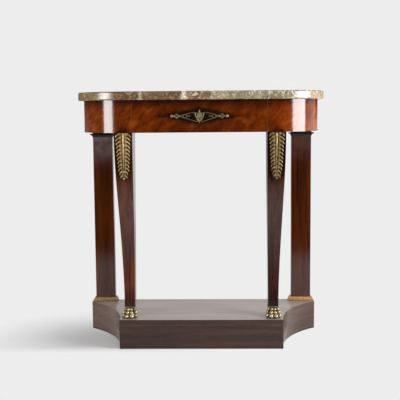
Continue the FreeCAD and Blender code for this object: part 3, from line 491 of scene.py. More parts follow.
def mahogany(name, tones, grain, dust=0.2, bloom=0.0, rubbed=1.0, darker_low=FOOT_SHADE_HEIGHTS, head=1.0,
             dull=0.08):
    """French-polished mahogany: long straight grain with dark pores, duller where dust has settled.
    dust is its share on level faces, bloom the share of grey bloom in the polish just under the frieze,
    rubbed how much paler a leg is worn low down, darker_low the heights between which the wood is drawn
    darker low down (at the plinth's foot this is painted shade along the floor), head how much of the wood's
    colour is left where it is drawn darker round a leaf mount, and dull the roughness of the polish."""
    material, new, place, stretched, bands = start_grained(
        name, grain, {"Detail": 5, "Roughness": 0.55, "Distortion": 0.4})
    tone = new("ValToRGB", {0: bands}, tones)
    fine = new("TexNoise", {"Vector": stretched, "Scale": PORE_FINENESS, "Detail": 2})
    pore = new("MapRange", {0: fine, 1: 0.35, 2: 0.62, 3: 0.8, 4: 1.06})
    wood = new("Mix", {0: 1.0, 6: tone, 7: pore}, **MULTIPLIED)
    # Dust on level faces
    upward = new("SeparateXYZ", {0: new("NewGeometry").outputs["Normal"]}).outputs[2]
    level = new("MapRange", {0: upward, 1: 0.6, 2: 0.95, 3: 0.0, 4: dust})
    drift = new("TexNoise", {"Vector": stretched, "Scale": DUST_FINENESS, "Detail": 4})
    drifted = new("MapRange", {0: drift, 1: 0.3, 2: 0.65, 3: 0.7, 4: 1.0})
    settled = new("Math", {0: level, 1: drifted}, operation="MULTIPLY")
    dusty = new("Mix", {0: settled, 6: wood, 7: linear(DUST)}, **BLENDED)
    # Grey bloom in patches under the frieze
    height = new("SeparateXYZ", {0: place}).outputs[2]
    near_top = new("MapRange", {0: height, 1: BLOOM_HEIGHTS[0], 2: BLOOM_HEIGHTS[1], 3: 0.0, 4: bloom},
                   **EASED)
    patchy = new("TexNoise", {"Vector": place, "Scale": 1 / BLOOM_PATCH, "Detail": 4})
    hazy = new("MapRange", {0: patchy, 1: 0.3, 2: 0.6, 3: 0.35, 4: 1.0})
    haze = new("Math", {0: near_top, 1: hazy}, operation="MULTIPLY")
    bloomed = new("Mix", {0: haze, 6: dusty, 7: linear(BLOOM)}, **BLENDED)
    # Darker at the foot, which at the plinth is painted shade along the floor, and darker round the leaf
    # mount, with the paler worn stretch between them
    low_darkening = new("MapRange", {0: height, 1: darker_low[0], 2: darker_low[1], 3: 0.25, 4: 1.0})
    worn = new("MapRange", {0: height, 1: LEG_WEAR_HEIGHTS[0], 2: LEG_WEAR_HEIGHTS[1], 3: rubbed, 4: 1.0},
               **EASED)
    worn_and_darkened = new("Math", {0: low_darkening, 1: worn}, operation="MULTIPLY")
    round_leaf = new("MapRange", {
        0: height, 1: LEAF_DARKENING_HEIGHTS[0], 2: LEAF_DARKENING_HEIGHTS[1], 3: 1.0, 4: head}, **EASED)
    all_darkening_and_wear = new("Math", {0: worn_and_darkened, 1: round_leaf}, operation="MULTIPLY")
    finished = new("Mix", {0: 1.0, 6: bloomed, 7: all_darkening_and_wear}, **MULTIPLIED)
    rough = new("MapRange", {0: fine, 3: 0.3, 4: 0.5})
    bump = new("Bump", {"Strength": 0.1, "Distance": GRAIN_DEPTH, "Height": fine})
    new("OutputMaterial", {0: new("BsdfPrincipled", {
        "Base Color": finished, "Roughness": rough, "Specular IOR Level": 0.0, "Coat Weight": 1.0,
        "Coat Roughness": dull, "Coat IOR": 1.5, "Normal": bump})})
    return material


def ebonised_wood():
    """Ebonised pear wood: stained black, its close grain still faint under the polish."""
    material, new, _, _, grain = start_grained("ebonised_polished_pearwood", PEAR_GRAIN, {"Detail": 4})
    tone = new("ValToRGB", {0: grain}, PEAR_TONES)
    rough = new("MapRange", {0: grain, 3: 0.25, 4: 0.42})
    new("OutputMaterial", {0: new("BsdfPrincipled", {
        "Base Color": tone, "Roughness": rough, "Specular IOR Level": 0.2, "Coat Weight": 0.3,
        "Coat Roughness": 0.15})})
    return material


def gilt_bronze(name, bright, worn, recess, metal_share, roughness):
    """Cast and chased bronze with worn gilding: warm metal on the high parts, and in the hollows a dark brown
    that is both dirt left there and painted shade. The pieces carry how high each point stands, from 0 in a
    hollow to 1 on a crest, as relief; high relief also paints highlights."""
    material, new, place = start_material(name)
    mottle = new("TexNoise", {"Vector": place, "Scale": 1 / GILT_MOTTLE, "Detail": 4})
    wear = new("MapRange", {0: mottle, 1: 0.35, 2: 0.65})
    gilding = new("Mix", {0: wear, 6: linear(worn), 7: linear(bright)}, **BLENDED)
    high = new("Attribute", attribute_name="relief").outputs["Fac"]
    crest_share = new("MapRange", {0: high, 1: 0.25, 2: 0.85}, **EASED)
    metal = new("Mix", {0: crest_share, 6: linear(recess), 7: gilding}, **BLENDED)
    metallic = new("MapRange", {0: crest_share, 3: 0.2, 4: metal_share})
    chased = new("TexNoise", {"Vector": place, "Scale": 1 / GILT_CHASING, "Detail": 2})
    rough = new("MapRange", {0: chased, 3: roughness - 0.08, 4: roughness + 0.1})
    bump = new("Bump", {"Strength": 0.15, "Distance": GILT_CHASING_DEPTH, "Height": chased})
    new("OutputMaterial", {0: new("BsdfPrincipled", {
        "Base Color": metal, "Metallic": metallic, "Roughness": rough, "Normal": bump})})
    return material


def sawn_wood(name, tones, grain):
    """Planed carcase wood, aged and unpolished: plain growth bands and a dry matt surface."""
    material, new, _, stretched, bands = start_grained(name, grain, {"Detail": 4, "Distortion": 0.6})
    tone = new("ValToRGB", {0: bands}, tones)
    fibre = new("TexNoise", {"Vector": stretched, "Scale": FIBRE_FINENESS, "Detail": 2})
    line = new("MapRange", {0: fibre, 1: 0.3, 2: 0.7, 3: 0.82, 4: 1.08})
    wood = new("Mix", {0: 1.0, 6: tone, 7: line}, **MULTIPLIED)
    rough = new("MapRange", {0: fibre, 3: 0.6, 4: 0.8})
    bump = new("Bump", {"Strength": 0.25, "Distance": GRAIN_DEPTH, "Height": fibre})
    new("OutputMaterial", {0: new("BsdfPrincipled", {
        "Base Color": wood, "Roughness": rough, "Normal": bump})})
    return material


def filed_metal(name, bright, dull, roughness):
    """Lock metal, filed and tarnished: fine draw-file lines and dull stains."""
    material, new, place, _, lines = start_grained(name, FILE_MARKS, {"Detail": 2})
    stains = new("TexNoise", {"Vector": place, "Scale": 1 / METAL_STAIN, "Detail": 4})
    spread = new("MapRange", {0: stains, 1: 0.35, 2: 0.65})
    tone = new("Mix", {0: spread, 6: linear(dull), 7: linear(bright)}, **BLENDED)
    rough = new("MapRange", {0: lines, 3: roughness - 0.1, 4: roughness + 0.12})
    new("OutputMaterial", {0: new("BsdfPrincipled", {
        "Base Color": tone, "Metallic": 1.0, "Roughness": rough})})
    return material


MARBLE = breccia_marble()
FLAME = flame_mahogany()
LEG_WOOD = {
    "left": mahogany("french_polished_mahogany", PALE_LEG_TONES, LEG_GRAIN, rubbed=1.75,
                     darker_low=ANKLE_DARKENING_HEIGHTS, head=0.4),
    "right": mahogany("dark_polished_mahogany", DARK_LEG_TONES, LEG_GRAIN,
                      darker_low=ANKLE_DARKENING_HEIGHTS, head=0.4)}
PILASTER_WOOD = {
    "left": mahogany("bloomed_polished_mahogany", PILASTER_TONES, PILASTER_GRAIN, bloom=1.0),
    "right": mahogany("clear_polished_mahogany", PILASTER_TONES, PILASTER_GRAIN, bloom=0.2)}
# Painted light on the plinth's incurved sides, in place of a low lamp beside them
PLINTH_SIDE_LIT_WOOD = {
    "left": mahogany("side_lit_polished_mahogany", PALE_LIT_SIDE_TONES, PLINTH_SIDE_GRAIN, dust=0.72, dull=0.2),
    "right": mahogany("side_lit_dark_mahogany", DARK_LIT_SIDE_TONES, PLINTH_SIDE_GRAIN, dust=0.72, dull=0.2)}
PLINTH_WOOD = mahogany("dusty_polished_mahogany", PLINTH_TONES, PLINTH_GRAIN, dust=0.72, dull=0.2)
EBONISED = ebonised_wood()
LEAF_GILT = {
    "left": gilt_bronze("worn_gilt_bronze", "#EACA8E", "#AC8C54", "#281A07", 0.8, 0.36),
    "right": gilt_bronze("tarnished_gilt_bronze", "#CFB078", "#8E7242", "#201505", 0.8, 0.36)}
# Painted shade: the ground plate under the leaflets is drawn dark, for the shade between them
LEAF_SHADE = gilt_bronze("shade_dark_gilt_bronze", "#5A4324", "#46321A", "#2C1E0B", 0.5, 0.55)
PAW_GILT = gilt_bronze("pale_gilt_bronze", "#E8D8AE", "#BCA878", "#261E0A", 0.85, 0.3)
# The right base is drawn brighter than the left: partly its gilding, partly painted light from the key lamp
# on that side
BASE_GILT = {
    "left": gilt_bronze("dull_gilt_brass", "#D2B48A", "#AC8C60", "#2E2212", 0.8, 0.3),
    "right": gilt_bronze("key_lit_orange_gilt_brass", "#EEC68E", "#D4A266", "#5A4020", 0.8, 0.34)}
ESCUTCHEON_GILT = gilt_bronze("dull_gilt_bronze", "#B8A680", "#8C7C5C", "#1C140A", 0.75, 0.4)
PINE = sawn_wood("aged_pine", PINE_TONES, PINE_GRAIN)
OAK = sawn_wood("aged_oak", OAK_TONES, OAK_GRAIN)
LOCK_BRASS = filed_metal("filed_lock_brass", "#B39A58", "#6E5A30", 0.35)
STEEL = filed_metal("dull_lock_steel", "#8C8A86", "#4A4744", 0.4)
POLISHED_STEEL = filed_metal("rubbed_lock_steel", "#EDE6D4", "#D0C6AE", 0.3)
PIN_BRASS = filed_metal("gilt_brass_pins", "#C9A877", "#8A6C40", 0.35)


# Woods, stone and plain mounts: softened copies of the solids


def softened(node, arris_width):
    """A copy of a solid's mesh with its triangles joined, its flat faces made whole and its arrises eased."""
    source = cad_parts[node].data
    shape = bmesh.new()
    corners = [shape.verts.new(v.co) for v in source.vertices]
    for face in source.polygons:
        shape.faces.new([corners[i] for i in face.vertices])
    bmesh.ops.remove_doubles(shape, verts=shape.verts, dist=MERGE)
    bmesh.ops.dissolve_limit(shape, angle_limit=FLAT_ANGLE, verts=shape.verts, edges=shape.edges)
    piece = smooth(shape_piece(node + "_finished", shape))
    arris = piece.modifiers.new("eased_arris", "BEVEL")
    arris.width = arris_width
    arris.segments = 2
    arris.limit_method = "ANGLE"
    arris.angle_limit = ARRIS_ANGLE
    piece.modifiers.new("flat_faces", "WEIGHTED_NORMAL")
    return plain(piece)


def veneer_place(point):
    """Where a point lies on the sheet of veneer: its way round the frieze from the middle, and its height."""
    across = abs(point.x)
    past = across - CORNER_X
    if past <= 0:
        along = across
    elif point.y < CORNER_Y:
        along = CORNER_X + CORNER_RADIUS * math.atan2(past, CORNER_Y - point.y)
    else:
        along = CORNER_X + CORNER_RADIUS * math.pi / 2 + point.y - CORNER_Y
    return math.copysign(along, point.x), 0.0, point.z


def veneered(piece):
    """Stores where each point lies on the veneer, so that the figure runs round the corners."""
    places = piece.data.attributes.new("veneer", "FLOAT_VECTOR", "POINT")
    for vertex, place in zip(piece.data.vertices, places.data):
        place.vector = veneer_place(vertex.co)


def relieved(piece, heights):
    """Stores how high each point of a casting stands, from 0 in a hollow to 1 on a crest. A single height
    goes for all its points."""
    if isinstance(heights, float):
        heights = [heights] * len(piece.data.vertices)
    piece.data.attributes.new("relief", "FLOAT", "POINT").data.foreach_set("value", heights)
    return piece


def brighter_upwards(piece):
    """Stores the relief of a base moulding, which is drawn darker low down."""
    levels = [v.co.z for v in piece.data.vertices]
    low, high = min(levels), max(levels)
    darker_low, crest_share = BASE_RELIEF_SHARES
    relieved(piece, [darker_low + (crest_share - darker_low) * (z - low) / (high - low) for z in levels])


def finish(node, arris_width, material, slot, body="table", surface=None):
    """Dresses a solid's softened copy, with what its material reads stored on its surface."""
    piece = softened(node, arris_width)
    if surface:
        surface(piece)
    return dress(piece, material, body, slot, node)


finish("marble_top", MARBLE_ARRIS, MARBLE, "marble")
finish("drawer_front", VENEER_ARRIS, FLAME, "frieze_veneer", "drawer", surface=veneered)
for side in SIDES:
    finish("frieze_corner_" + side, VENEER_ARRIS, FLAME, "frieze_veneer", surface=veneered)
    finish("frieze_side_" + side, VENEER_ARRIS, FLAME, "frieze_veneer", surface=veneered)
    finish("front_leg_" + side, WOOD_ARRIS, LEG_WOOD[side], "mahogany")
    finish("pilaster_" + side, WOOD_ARRIS, PILASTER_WOOD[side], "mahogany")
    finish("pilaster_capital_" + side, METAL_ARRIS, EBONISED, "ebonised")
    finish("pilaster_base_" + side, METAL_ARRIS, BASE_GILT[side], "gilt_bronze", surface=brighter_upwards)
    finish("plinth_side_" + side, PLINTH_ARRIS, PLINTH_SIDE_LIT_WOOD[side], "plinth_veneer")
finish("lock_key_pin", KEY_PIN_ARRIS, POLISHED_STEEL, "steel", "drawer")
finish("plinth_front_board", PLINTH_ARRIS, PLINTH_WOOD, "plinth_veneer")
board = finish("plinth_top_board", PLINTH_ARRIS, PLINTH_WOOD, "plinth_veneer")
# The incurved edges of the top board carry on the veneer of the sides and its painted light
for side in SIDES:
    board.data.materials.append(PLINTH_SIDE_LIT_WOOD[side])
board_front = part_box("plinth_top_board")[0].y + PLINTH_ARRIS
for face in board.data.polygons:
    if abs(face.normal.z) < UPRIGHT and face.center.y > board_front:
        face.material_index = 1 if face.center.x < 0 else 2


# What stays as the solids are: carcase, drawer box, lock and pins

CARRIED_OVER = [
    (PINE, ["frieze_post_left", "frieze_post_right", "frieze_back_rail", "frieze_glue_blocks",
            "lower_front_rail", "upper_front_rail", "drawer_runner_left", "drawer_runner_right",
            "drawer_guide_left", "drawer_guide_right", "drawer_kicker_left", "drawer_kicker_right",
            "plinth_back_board", "plinth_glue_blocks"]),
    (OAK, ["drawer_side_left", "drawer_side_right", "drawer_back", "drawer_bottom"]),
    (LOCK_BRASS, ["lock_plate", "lock_case", "lock_strike", "lock_bolt"]),
    (STEEL, ["lock_spring", "lock_screws", "strike_screws"]),
    (PIN_BRASS, ["leaf_mount_pins", "pilaster_base_pins", "escutcheon_pins"])]
for material, nodes in CARRIED_OVER:
    for node in nodes:
        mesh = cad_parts[node].data
        mesh.materials.clear()
        mesh.materials.append(material)


# Gilt mounts: shared makers


def modelled(tree, name, source, given):
    """Runs a geometry tree on a source mesh with its named inputs, and gives the result as a plain piece."""
    piece = link_object(name, source)
    maker = piece.modifiers.new(tree.name, "NODES")
    maker.node_group = tree
    for socket in tree.interface.items_tree:
        if socket.in_out == "INPUT" and socket.name in given:
            maker[socket.identifier] = given[socket.name]
    return plain(piece)


def start_tree(name, inputs):
    """A geometry tree with its named inputs, and the function that adds its nodes."""
    tree = bpy.data.node_groups.new(name, "GeometryNodeTree")
    tree.interface.new_socket("Geometry", in_out="OUTPUT", socket_type="NodeSocketGeometry")
    for label, kind in inputs.items():
        tree.interface.new_socket(label, in_out="INPUT", socket_type="NodeSocket" + kind)
    new = functools.partial(add, tree)
    return tree, new, new("NodeGroupInput").outputs


def end_tree(new, geometry, material):
    """Ends a geometry tree in smooth, realized, painted geometry."""
    real = new("GeometryNodeRealizeInstances", {0: geometry})
    even = new("GeometryNodeSetShadeSmooth", {0: real})
    painted = new("GeometryNodeSetMaterial", {0: even, "Material": material})
    new("NodeGroupOutput", {0: painted})


def bar_tree():
    """Cast bars: a round section swept along each route, as thick as the route's own thickness says."""
    tree, new, given = start_tree("cast_bars", {
        "Geometry": "Geometry", "Sides": "Int", "Material": "Material"})
    route = new("GeometryNodeMeshToCurve", {0: given["Geometry"]})
    thick = new("GeometryNodeInputNamedAttribute", {"Name": "thickness"}, data_type="FLOAT")
    section = new("GeometryNodeCurvePrimitiveCircle", {"Resolution": given["Sides"], "Radius": 1.0})
    swept = new("GeometryNodeCurveToMesh", {
        "Curve": route, "Profile Curve": section, "Scale": thick, "Fill Caps": True})
    end_tree(new, swept, given["Material"])
    return tree


def leaf_tree():
    """A row of leaflet pairs along a midrib that runs from the tip up, narrowing to the tip, and the stem."""
    tree, new, given = start_tree("leaf_mount", {
        "Geometry": "Geometry", "Left leaflet": "Object", "Right leaflet": "Object", "Pairs": "Int",
        "Half width": "Float", "Pitch": "Float", "Rise": "Float", "Stem at tip": "Float",
        "Stem at top": "Float", "Material": "Material"})
    midrib = new("GeometryNodeMeshToCurve", {0: given["Geometry"]})
    roots = new("GeometryNodeCurveToPoints", {0: midrib, "Count": given["Pairs"]}, mode="COUNT")
    # How far each pair reaches: the taper of the leaf, with a blunt round tip
    last = new("Math", {0: given["Pairs"], 1: 1.0}, operation="SUBTRACT")
    climbed = new("Math", {0: new("GeometryNodeInputIndex"), 1: last}, operation="DIVIDE")
    fallen = new("Math", {0: 1.0, 1: climbed}, operation="SUBTRACT")
    narrowed = new("Math", {0: fallen, 1: -LEAF_TAPER_SHARE, 2: 1.0}, operation="MULTIPLY_ADD")
    steep = new("Math", {0: fallen, 1: LEAF_TIP_POWER}, operation="POWER")
    left_over = new("Math", {0: 1.0, 1: steep}, operation="SUBTRACT")
    rounded = new("Math", {0: left_over}, operation="SQRT")
    blunt = new("Math", {0: rounded, 1: LEAF_TIP_SHARE}, operation="MAXIMUM")
    outline = new("Math", {0: narrowed, 1: blunt}, operation="MULTIPLY")
    reach = new("Math", {0: outline, 1: given["Half width"]}, operation="MULTIPLY")
    size = new("CombineXYZ", {0: reach, 1: given["Pitch"], 2: given["Rise"]})
    climb = new("SeparateXYZ", {0: roots.outputs["Tangent"]}).outputs
    lean = new("Math", {0: climb[2], 1: climb[1]}, operation="ARCTAN2")
    turn = new("CombineXYZ", {0: lean})
    parts = []
    for side in ("Left leaflet", "Right leaflet"):
        leaflet_info = new("GeometryNodeObjectInfo", {"Object": given[side]})
        parts.append(new("GeometryNodeInstanceOnPoints", {
            "Points": roots, "Instance": leaflet_info.outputs["Geometry"], "Rotation": turn, "Scale": size}))
    climb_share = new("GeometryNodeSplineParameter")
    stem_size = new("MapRange", {0: climb_share, 3: given["Stem at tip"], 4: given["Stem at top"]})
    section = new("GeometryNodeCurvePrimitiveCircle", {"Resolution": STEM_SIDES, "Radius": 1.0})
    stem = new("GeometryNodeCurveToMesh", {
        "Curve": midrib, "Profile Curve": section, "Scale": stem_size, "Fill Caps": True})
    parts.append(new("GeometryNodeStoreNamedAttribute", {
        "Geometry": stem, "Name": "relief", "Value": STEM_RELIEF_SHARE}, data_type="FLOAT", domain="POINT"))
    whole = new("GeometryNodeJoinGeometry")
    for part in parts:
        tree.links.new(part.outputs[0], whole.inputs[0])
    end_tree(new, whole, given["Material"])
    return tree


def circle_angles(steps):
    """Evenly spaced angles, once round."""
    return [2 * math.pi * i / steps for i in range(steps)]


def skin(shape, rings, around=False):
    """Joins rings of points in a bmesh with faces that point outwards. The end rings are capped, or joined to
    each other where the skin runs around."""
    following = rings[1:] + rings[:1] if around else rings[1:]
    faces = []
    for ring, after in zip(rings, following):
        faces += [shape.faces.new((ring[i - 1], ring[i], after[i], after[i - 1])) for i in range(len(ring))]
    if not around:
        faces += [shape.faces.new(rings[0][::-1]), shape.faces.new(rings[-1])]
    bmesh.ops.recalc_face_normals(shape, faces=faces)


def turned(shape, profile, place, axis, steps=KNOB_STEPS):
    """Adds a turned knob to a bmesh: pairs of radius and height, revolved about an axis through a place."""
    stand = Matrix.Translation(place) @ Vector(axis).to_track_quat("Z", "Y").to_matrix().to_4x4()
    skin(shape, [[shape.verts.new(stand @ Vector((radius * math.cos(a), radius * math.sin(a), height)))
                  for a in circle_angles(steps)] for radius, height in profile])


def round_profile(radius, stretch=1.0):
    """Radius and height pairs of a ball, drawn out along its axis, with small flats at its ends."""
    angles = [math.pi * (i + KNOB_FLAT_SHARE) / (KNOB_RINGS + 2 * KNOB_FLAT_SHARE)
              for i in range(KNOB_RINGS + 1)]
    return [(radius * math.sin(a), -radius * stretch * math.cos(a)) for a in angles]


def joined(name, pieces):
    """One piece from several, which are removed."""
    shape = bmesh.new()
    for piece in pieces:
        shape.from_mesh(piece.data)
        bpy.data.objects.remove(piece)
    return smooth(shape_piece(name, shape))


def cut_level(piece, height, keep_below):
    """Cuts a piece level at a height and closes the cut."""
    shape = bmesh.new()
    shape.from_mesh(piece.data)
    everything = shape.verts[:] + shape.edges[:] + shape.faces[:]
    cut = bmesh.ops.bisect_plane(shape, geom=everything, plane_co=(0, 0, height), plane_no=(0, 0, 1),
                                 clear_outer=keep_below, clear_inner=not keep_below)
    rim = [item for item in cut["geom_cut"] if isinstance(item, bmesh.types.BMEdge)]
    bmesh.ops.holes_fill(shape, edges=rim)
    shape.to_mesh(piece.data)
    shape.free()


BARS = bar_tree()


def cast_bars(name, routes, radius, material):
    """Round bars along routes, each a list of points; a closed route repeats its start."""
    mesh = bpy.data.meshes.new(name)
    spots, edges = [], []
    for route in routes:
        closed = (route[0] - route[-1]).length < MERGE
        first, count = len(spots), len(route) - closed
        spots += route[:count]
        edges += [(first + i, first + i + 1) for i in range(count - 1)]
        if closed:
            edges.append((first + count - 1, first))
    mesh.from_pydata(spots, edges, [])
    thickness = mesh.attributes.new("thickness", "FLOAT", "POINT")
    thickness.data.foreach_set("value", [radius] * len(spots))
    return modelled(BARS, name, mesh, {"Sides": BAR_SIDES, "Material": material})


# Leaf mounts on the leg heads


def leaflet(hand):
    """One leaflet in shares: reach 1 outwards to the hand's side, heights in leaflet pitches, rise 1.
    It lies against its neighbours near the stem, then narrows and hooks down to a round tip."""
    arcs = [math.pi * j / LEAFLET_STEPS for j in range(LEAFLET_STEPS + 1)]
    shape = bmesh.new()
    rings = []
    heights = []
    for out, width, rise in LEAFLET_SHARES:
        middle = sum(share * out ** power for power, share in enumerate(LEAFLET_SWEEP_SHARES, 1))
        rings.append([shape.verts.new((
            hand * out, middle + width / 2 * math.cos(a), rise * math.sin(a) ** LEAFLET_ARCH_POWER))
            for a in arcs])
        # The relief paints highlights on each leaflet's crest and shade on its flanks
        heights += [rise * math.sin(a) ** LEAFLET_RELIEF_POWER for a in arcs]
    skin(shape, rings)
    return relieved(shape_piece("leaflet", shape), heights)


@functools.cache
def leg_surface(side):
    """The surface of a front leg, to cast rays at."""
    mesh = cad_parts["front_leg_" + side].data
    return BVHTree.FromPolygons([v.co for v in mesh.vertices], [p.vertices for p in mesh.polygons])


def leg_face(side, x, height):
    """The point of a front leg's face at a height."""
    return leg_surface(side).ray_cast(Vector((x, cad_low.y - 1.0, height)), Vector((0, 1, 0)))[0]


def leaf_ground(side, middle, low, high):
    """The cast plate under the leaflets, bent to the leg, with scalloped edges, drawn dark as painted shade
    between the leaflets.
    """
    shape = bmesh.new()
    grid = []
    for i in range(GROUND_ROWS + 1):
        fallen = i / GROUND_ROWS
        face = leg_face(side, middle, high.z - fallen * (high.z - low.z))
        scallop = SCALLOP_SHARES[0] + SCALLOP_SHARES[1] * math.cos(2 * math.pi * fallen * LEAFLET_PAIRS)
        taper = (1 - LEAF_TAPER_SHARE * fallen) * math.sqrt(1 - fallen ** LEAF_TIP_POWER)
        half = max((high.x - low.x) / 2 * taper * scallop, LEAF_GROUND_TIP)
        grid.append([shape.verts.new((middle + half * (2 * j / GROUND_COLUMNS - 1), face.y, face.z))
                     for j in range(GROUND_COLUMNS + 1)])
    for upper, lower in zip(grid, grid[1:]):
        for j in range(GROUND_COLUMNS):
            shape.faces.new((upper[j], lower[j], lower[j + 1], upper[j + 1]))
    ground = smooth(shape_piece("leaf_ground_" + side, shape))
    thick = ground.modifiers.new("plate", "SOLIDIFY")
    thick.thickness = LEAF_GROUND
    thick.offset = 1.0
    return relieved(plain(ground), GROUND_RELIEF_SHARE)


def leaf_mount(side):
    """A gilt leaf hanging tip down on a leg head: ground plate, leaflets, stem and bud."""
    low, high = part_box("leaf_mount_" + side)
    middle = (low.x + high.x) / 2
    pitch = (high.z - low.z) / LEAFLET_PAIRS
    tip = low.z + STEM_END_SHARES[0] * pitch
    top = high.z - STEM_END_SHARES[1] * pitch
    on_ground = Vector((0, -LEAF_GROUND, 0))
    heights = [tip + (top - tip) * i / MIDRIB_STEPS for i in range(MIDRIB_STEPS + 1)]
    path = bpy.data.meshes.new("midrib")
    path.from_pydata([leg_face(side, middle, z) + on_ground for z in heights],
                     [(i, i + 1) for i in range(MIDRIB_STEPS)], [])
    leaflets = [leaflet(-1), leaflet(1)]
    leaf = modelled(LEAVES, "leaf", path, {
        "Left leaflet": leaflets[0], "Right leaflet": leaflets[1], "Pairs": LEAFLET_PAIRS,
        "Half width": (high.x - low.x) / 2, "Pitch": pitch, "Rise": LEAF_RISE,
        "Stem at tip": LEAF_STEM_TIP, "Stem at top": LEAF_STEM_TOP, "Material": LEAF_GILT[side]})
    for spare in leaflets:
        bpy.data.objects.remove(spare)
    cut_level(leaf, high.z, True)
    ball = bmesh.new()
    turned(ball, round_profile(BUD_RADIUS, BUD_STRETCH),
           leg_face(side, middle, low.z + BUD_RADIUS) + on_ground, (0, 0, 1))
    bud = relieved(shape_piece("bud", ball), BUD_RELIEF_SHARE)
    casting = joined("leaf_mount_%s_cast" % side, [leaf, bud])
    dress(casting, LEAF_GILT[side], "table", "gilt_bronze", "leaf_mount_" + side)
    dress(leaf_ground(side, middle, low, high), LEAF_SHADE, "table", "gilt_bronze")


LEAVES = leaf_tree()
for side in SIDES:
    leaf_mount(side)


# Paw feet


def collar_route(side, height):
    """The ring round the ankle: a rectangle with round corners, just outside the leg."""
    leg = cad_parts["front_leg_" + side].data
    foot_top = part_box("paw_foot_" + side)[1].z
    ankle = [v.co for v in leg.vertices if abs(v.co.z - foot_top) < ANKLE_SLICE]
    spans = [(min(p[k] for p in ankle), max(p[k] for p in ankle)) for k in (0, 1)]
    middle_x, middle_y = [(a + b) / 2 for a, b in spans]
    half_x, half_y = [(b - a) / 2 for a, b in spans]
    route = []
    for angle in circle_angles(COLLAR_STEPS) + [0.0]:
        x, y = math.cos(angle), math.sin(angle)
        square = (x ** COLLAR_SQUARENESS + y ** COLLAR_SQUARENESS) ** (-1 / COLLAR_SQUARENESS)
        route.append(Vector((middle_x + half_x * square * x, middle_y + half_y * square * y, height)))
    return route


def standing_out(piece):
    """Stores the relief of a casting: how far each point stands out from a much smoothed copy of it, which
    draws its creases dark as dirt and painted shade. Towards the sole the relief falls away, as painted
    contact shade under the paw."""
    shape = bmesh.new()
    shape.from_mesh(piece.data)
    before = [v.co.copy() for v in shape.verts]
    normals = [v.normal.copy() for v in shape.verts]
    for _ in range(RELIEF_SMOOTHING):
        bmesh.ops.smooth_vert(shape, verts=shape.verts, factor=0.5, use_axis_x=True, use_axis_y=True,
                              use_axis_z=True)
    out = [(a - v.co).dot(n) for a, v, n in zip(before, shape.verts, normals)]
    shape.free()
    sole = min(p.z for p in before)
    shares = [min((p.z - sole) / SOLE_SHADE_HEIGHT, 1.0) for p in before]
    relieved(piece, [min(max(0.5 + o / RELIEF_REACH, 0.0), 1.0) * s for o, s in zip(out, shares)])


def paw(side):
    """A gilt paw: rows of knuckles over four round toes, a heel and a collar round the ankle."""
    low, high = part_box("paw_foot_" + side)
    middle = Vector(((low.x + high.x) / 2, low.y, low.z))
    shape = bmesh.new()
    swellings = [((hand * x, y, z), radii) for hand in (-1, 1) for (x, y, z), radii in PAW_TOES + PAW_CLAWS]
    for place, radii in swellings + PAW_CORE:
        size = Matrix.Diagonal((*[r * MM for r in radii], 1.0))
        stand = Matrix.Translation(middle + Vector(place) * MM) @ size
        bmesh.ops.create_icosphere(shape, subdivisions=3, radius=1.0, matrix=stand)
    foot = shape_piece("foot", shape)
    melt = foot.modifiers.new("cast", "REMESH")
    melt.mode = "VOXEL"
    melt.voxel_size = PAW_VOXEL
    soften = foot.modifiers.new("chased", "SMOOTH")
    soften.iterations = PAW_SMOOTHING
    plain(foot)
    cut_level(foot, low.z, False)
    standing_out(foot)
    route = collar_route(side, high.z - COLLAR_RADIUS)
    collar = relieved(cast_bars("collar", [route], COLLAR_RADIUS, PAW_GILT), COLLAR_RELIEF_SHARE)
    casting = joined("paw_foot_%s_cast" % side, [foot, collar])
    dress(casting, PAW_GILT, "table", "gilt_bronze", "paw_foot_" + side)


for side in SIDES:
    paw(side)


# Escutcheon on the drawer front


def curved(start, bend, end):
    """Points of a quadratic curve in the plane of the drawer front."""
    shares = [i / BAR_STEPS for i in range(BAR_STEPS + 1)]
    return [tuple((1 - t) ** 2 * a + 2 * t * (1 - t) * b + t * t * c for a, b, c in zip(start, bend, end))
            for t in shares]


def keyhole_reach(angle):
    """How far the keyhole reaches from its eye in a direction: the round eye, or the slot below it."""
    if math.sin(angle) >= 0:
        return KEY_EYE
    slot = KEY_SLOT_HALF / max(abs(math.cos(angle)), 1e-6)
    return max(KEY_EYE, min(slot, KEY_SLOT_DROP / -math.sin(angle)))


def shield_reach(angle):
    """How far the shield reaches from the eye of the keyhole in a direction."""
    way = Vector((abs(math.cos(angle)), math.sin(angle)))
    for start, end in zip(SHIELD_OUTLINE, SHIELD_OUTLINE[1:]):
        first = way.x * start[1] - way.y * start[0]
        second = way.x * end[1] - way.y * end[0]
        spot = Vector(start).lerp(Vector(end), first / (first - second))
        if first * second <= 0 and spot.dot(way) > 0:
            return spot.length


def escutcheon_point(x, z, lift=0.0):
    """A point of the escutcheon, in mm from its middle, lifted off the drawer front."""
    return Vector((x * MM, FRIEZE_FRONT - lift, FRIEZE_MIDDLE + z * MM))


def shield_outline(angle, share, rise):
    """Reach and rise of the shield: a swelling rim, a grooved hollow and a raised lip round the keyhole."""
    reach = keyhole_reach(angle) * (1 - share) + shield_reach(angle) * share
    raised = math.atan2(math.sin(angle), abs(math.cos(angle)))
    groove = 0.0
    if GROOVE_REACH_SHARES[0] < share < GROOVE_REACH_SHARES[1]:
        groove = GROOVE_SHARE * max(1 - abs(raised - GROOVE_ANGLE) / GROOVE_SPREAD, 0.0)
    return reach, rise - groove


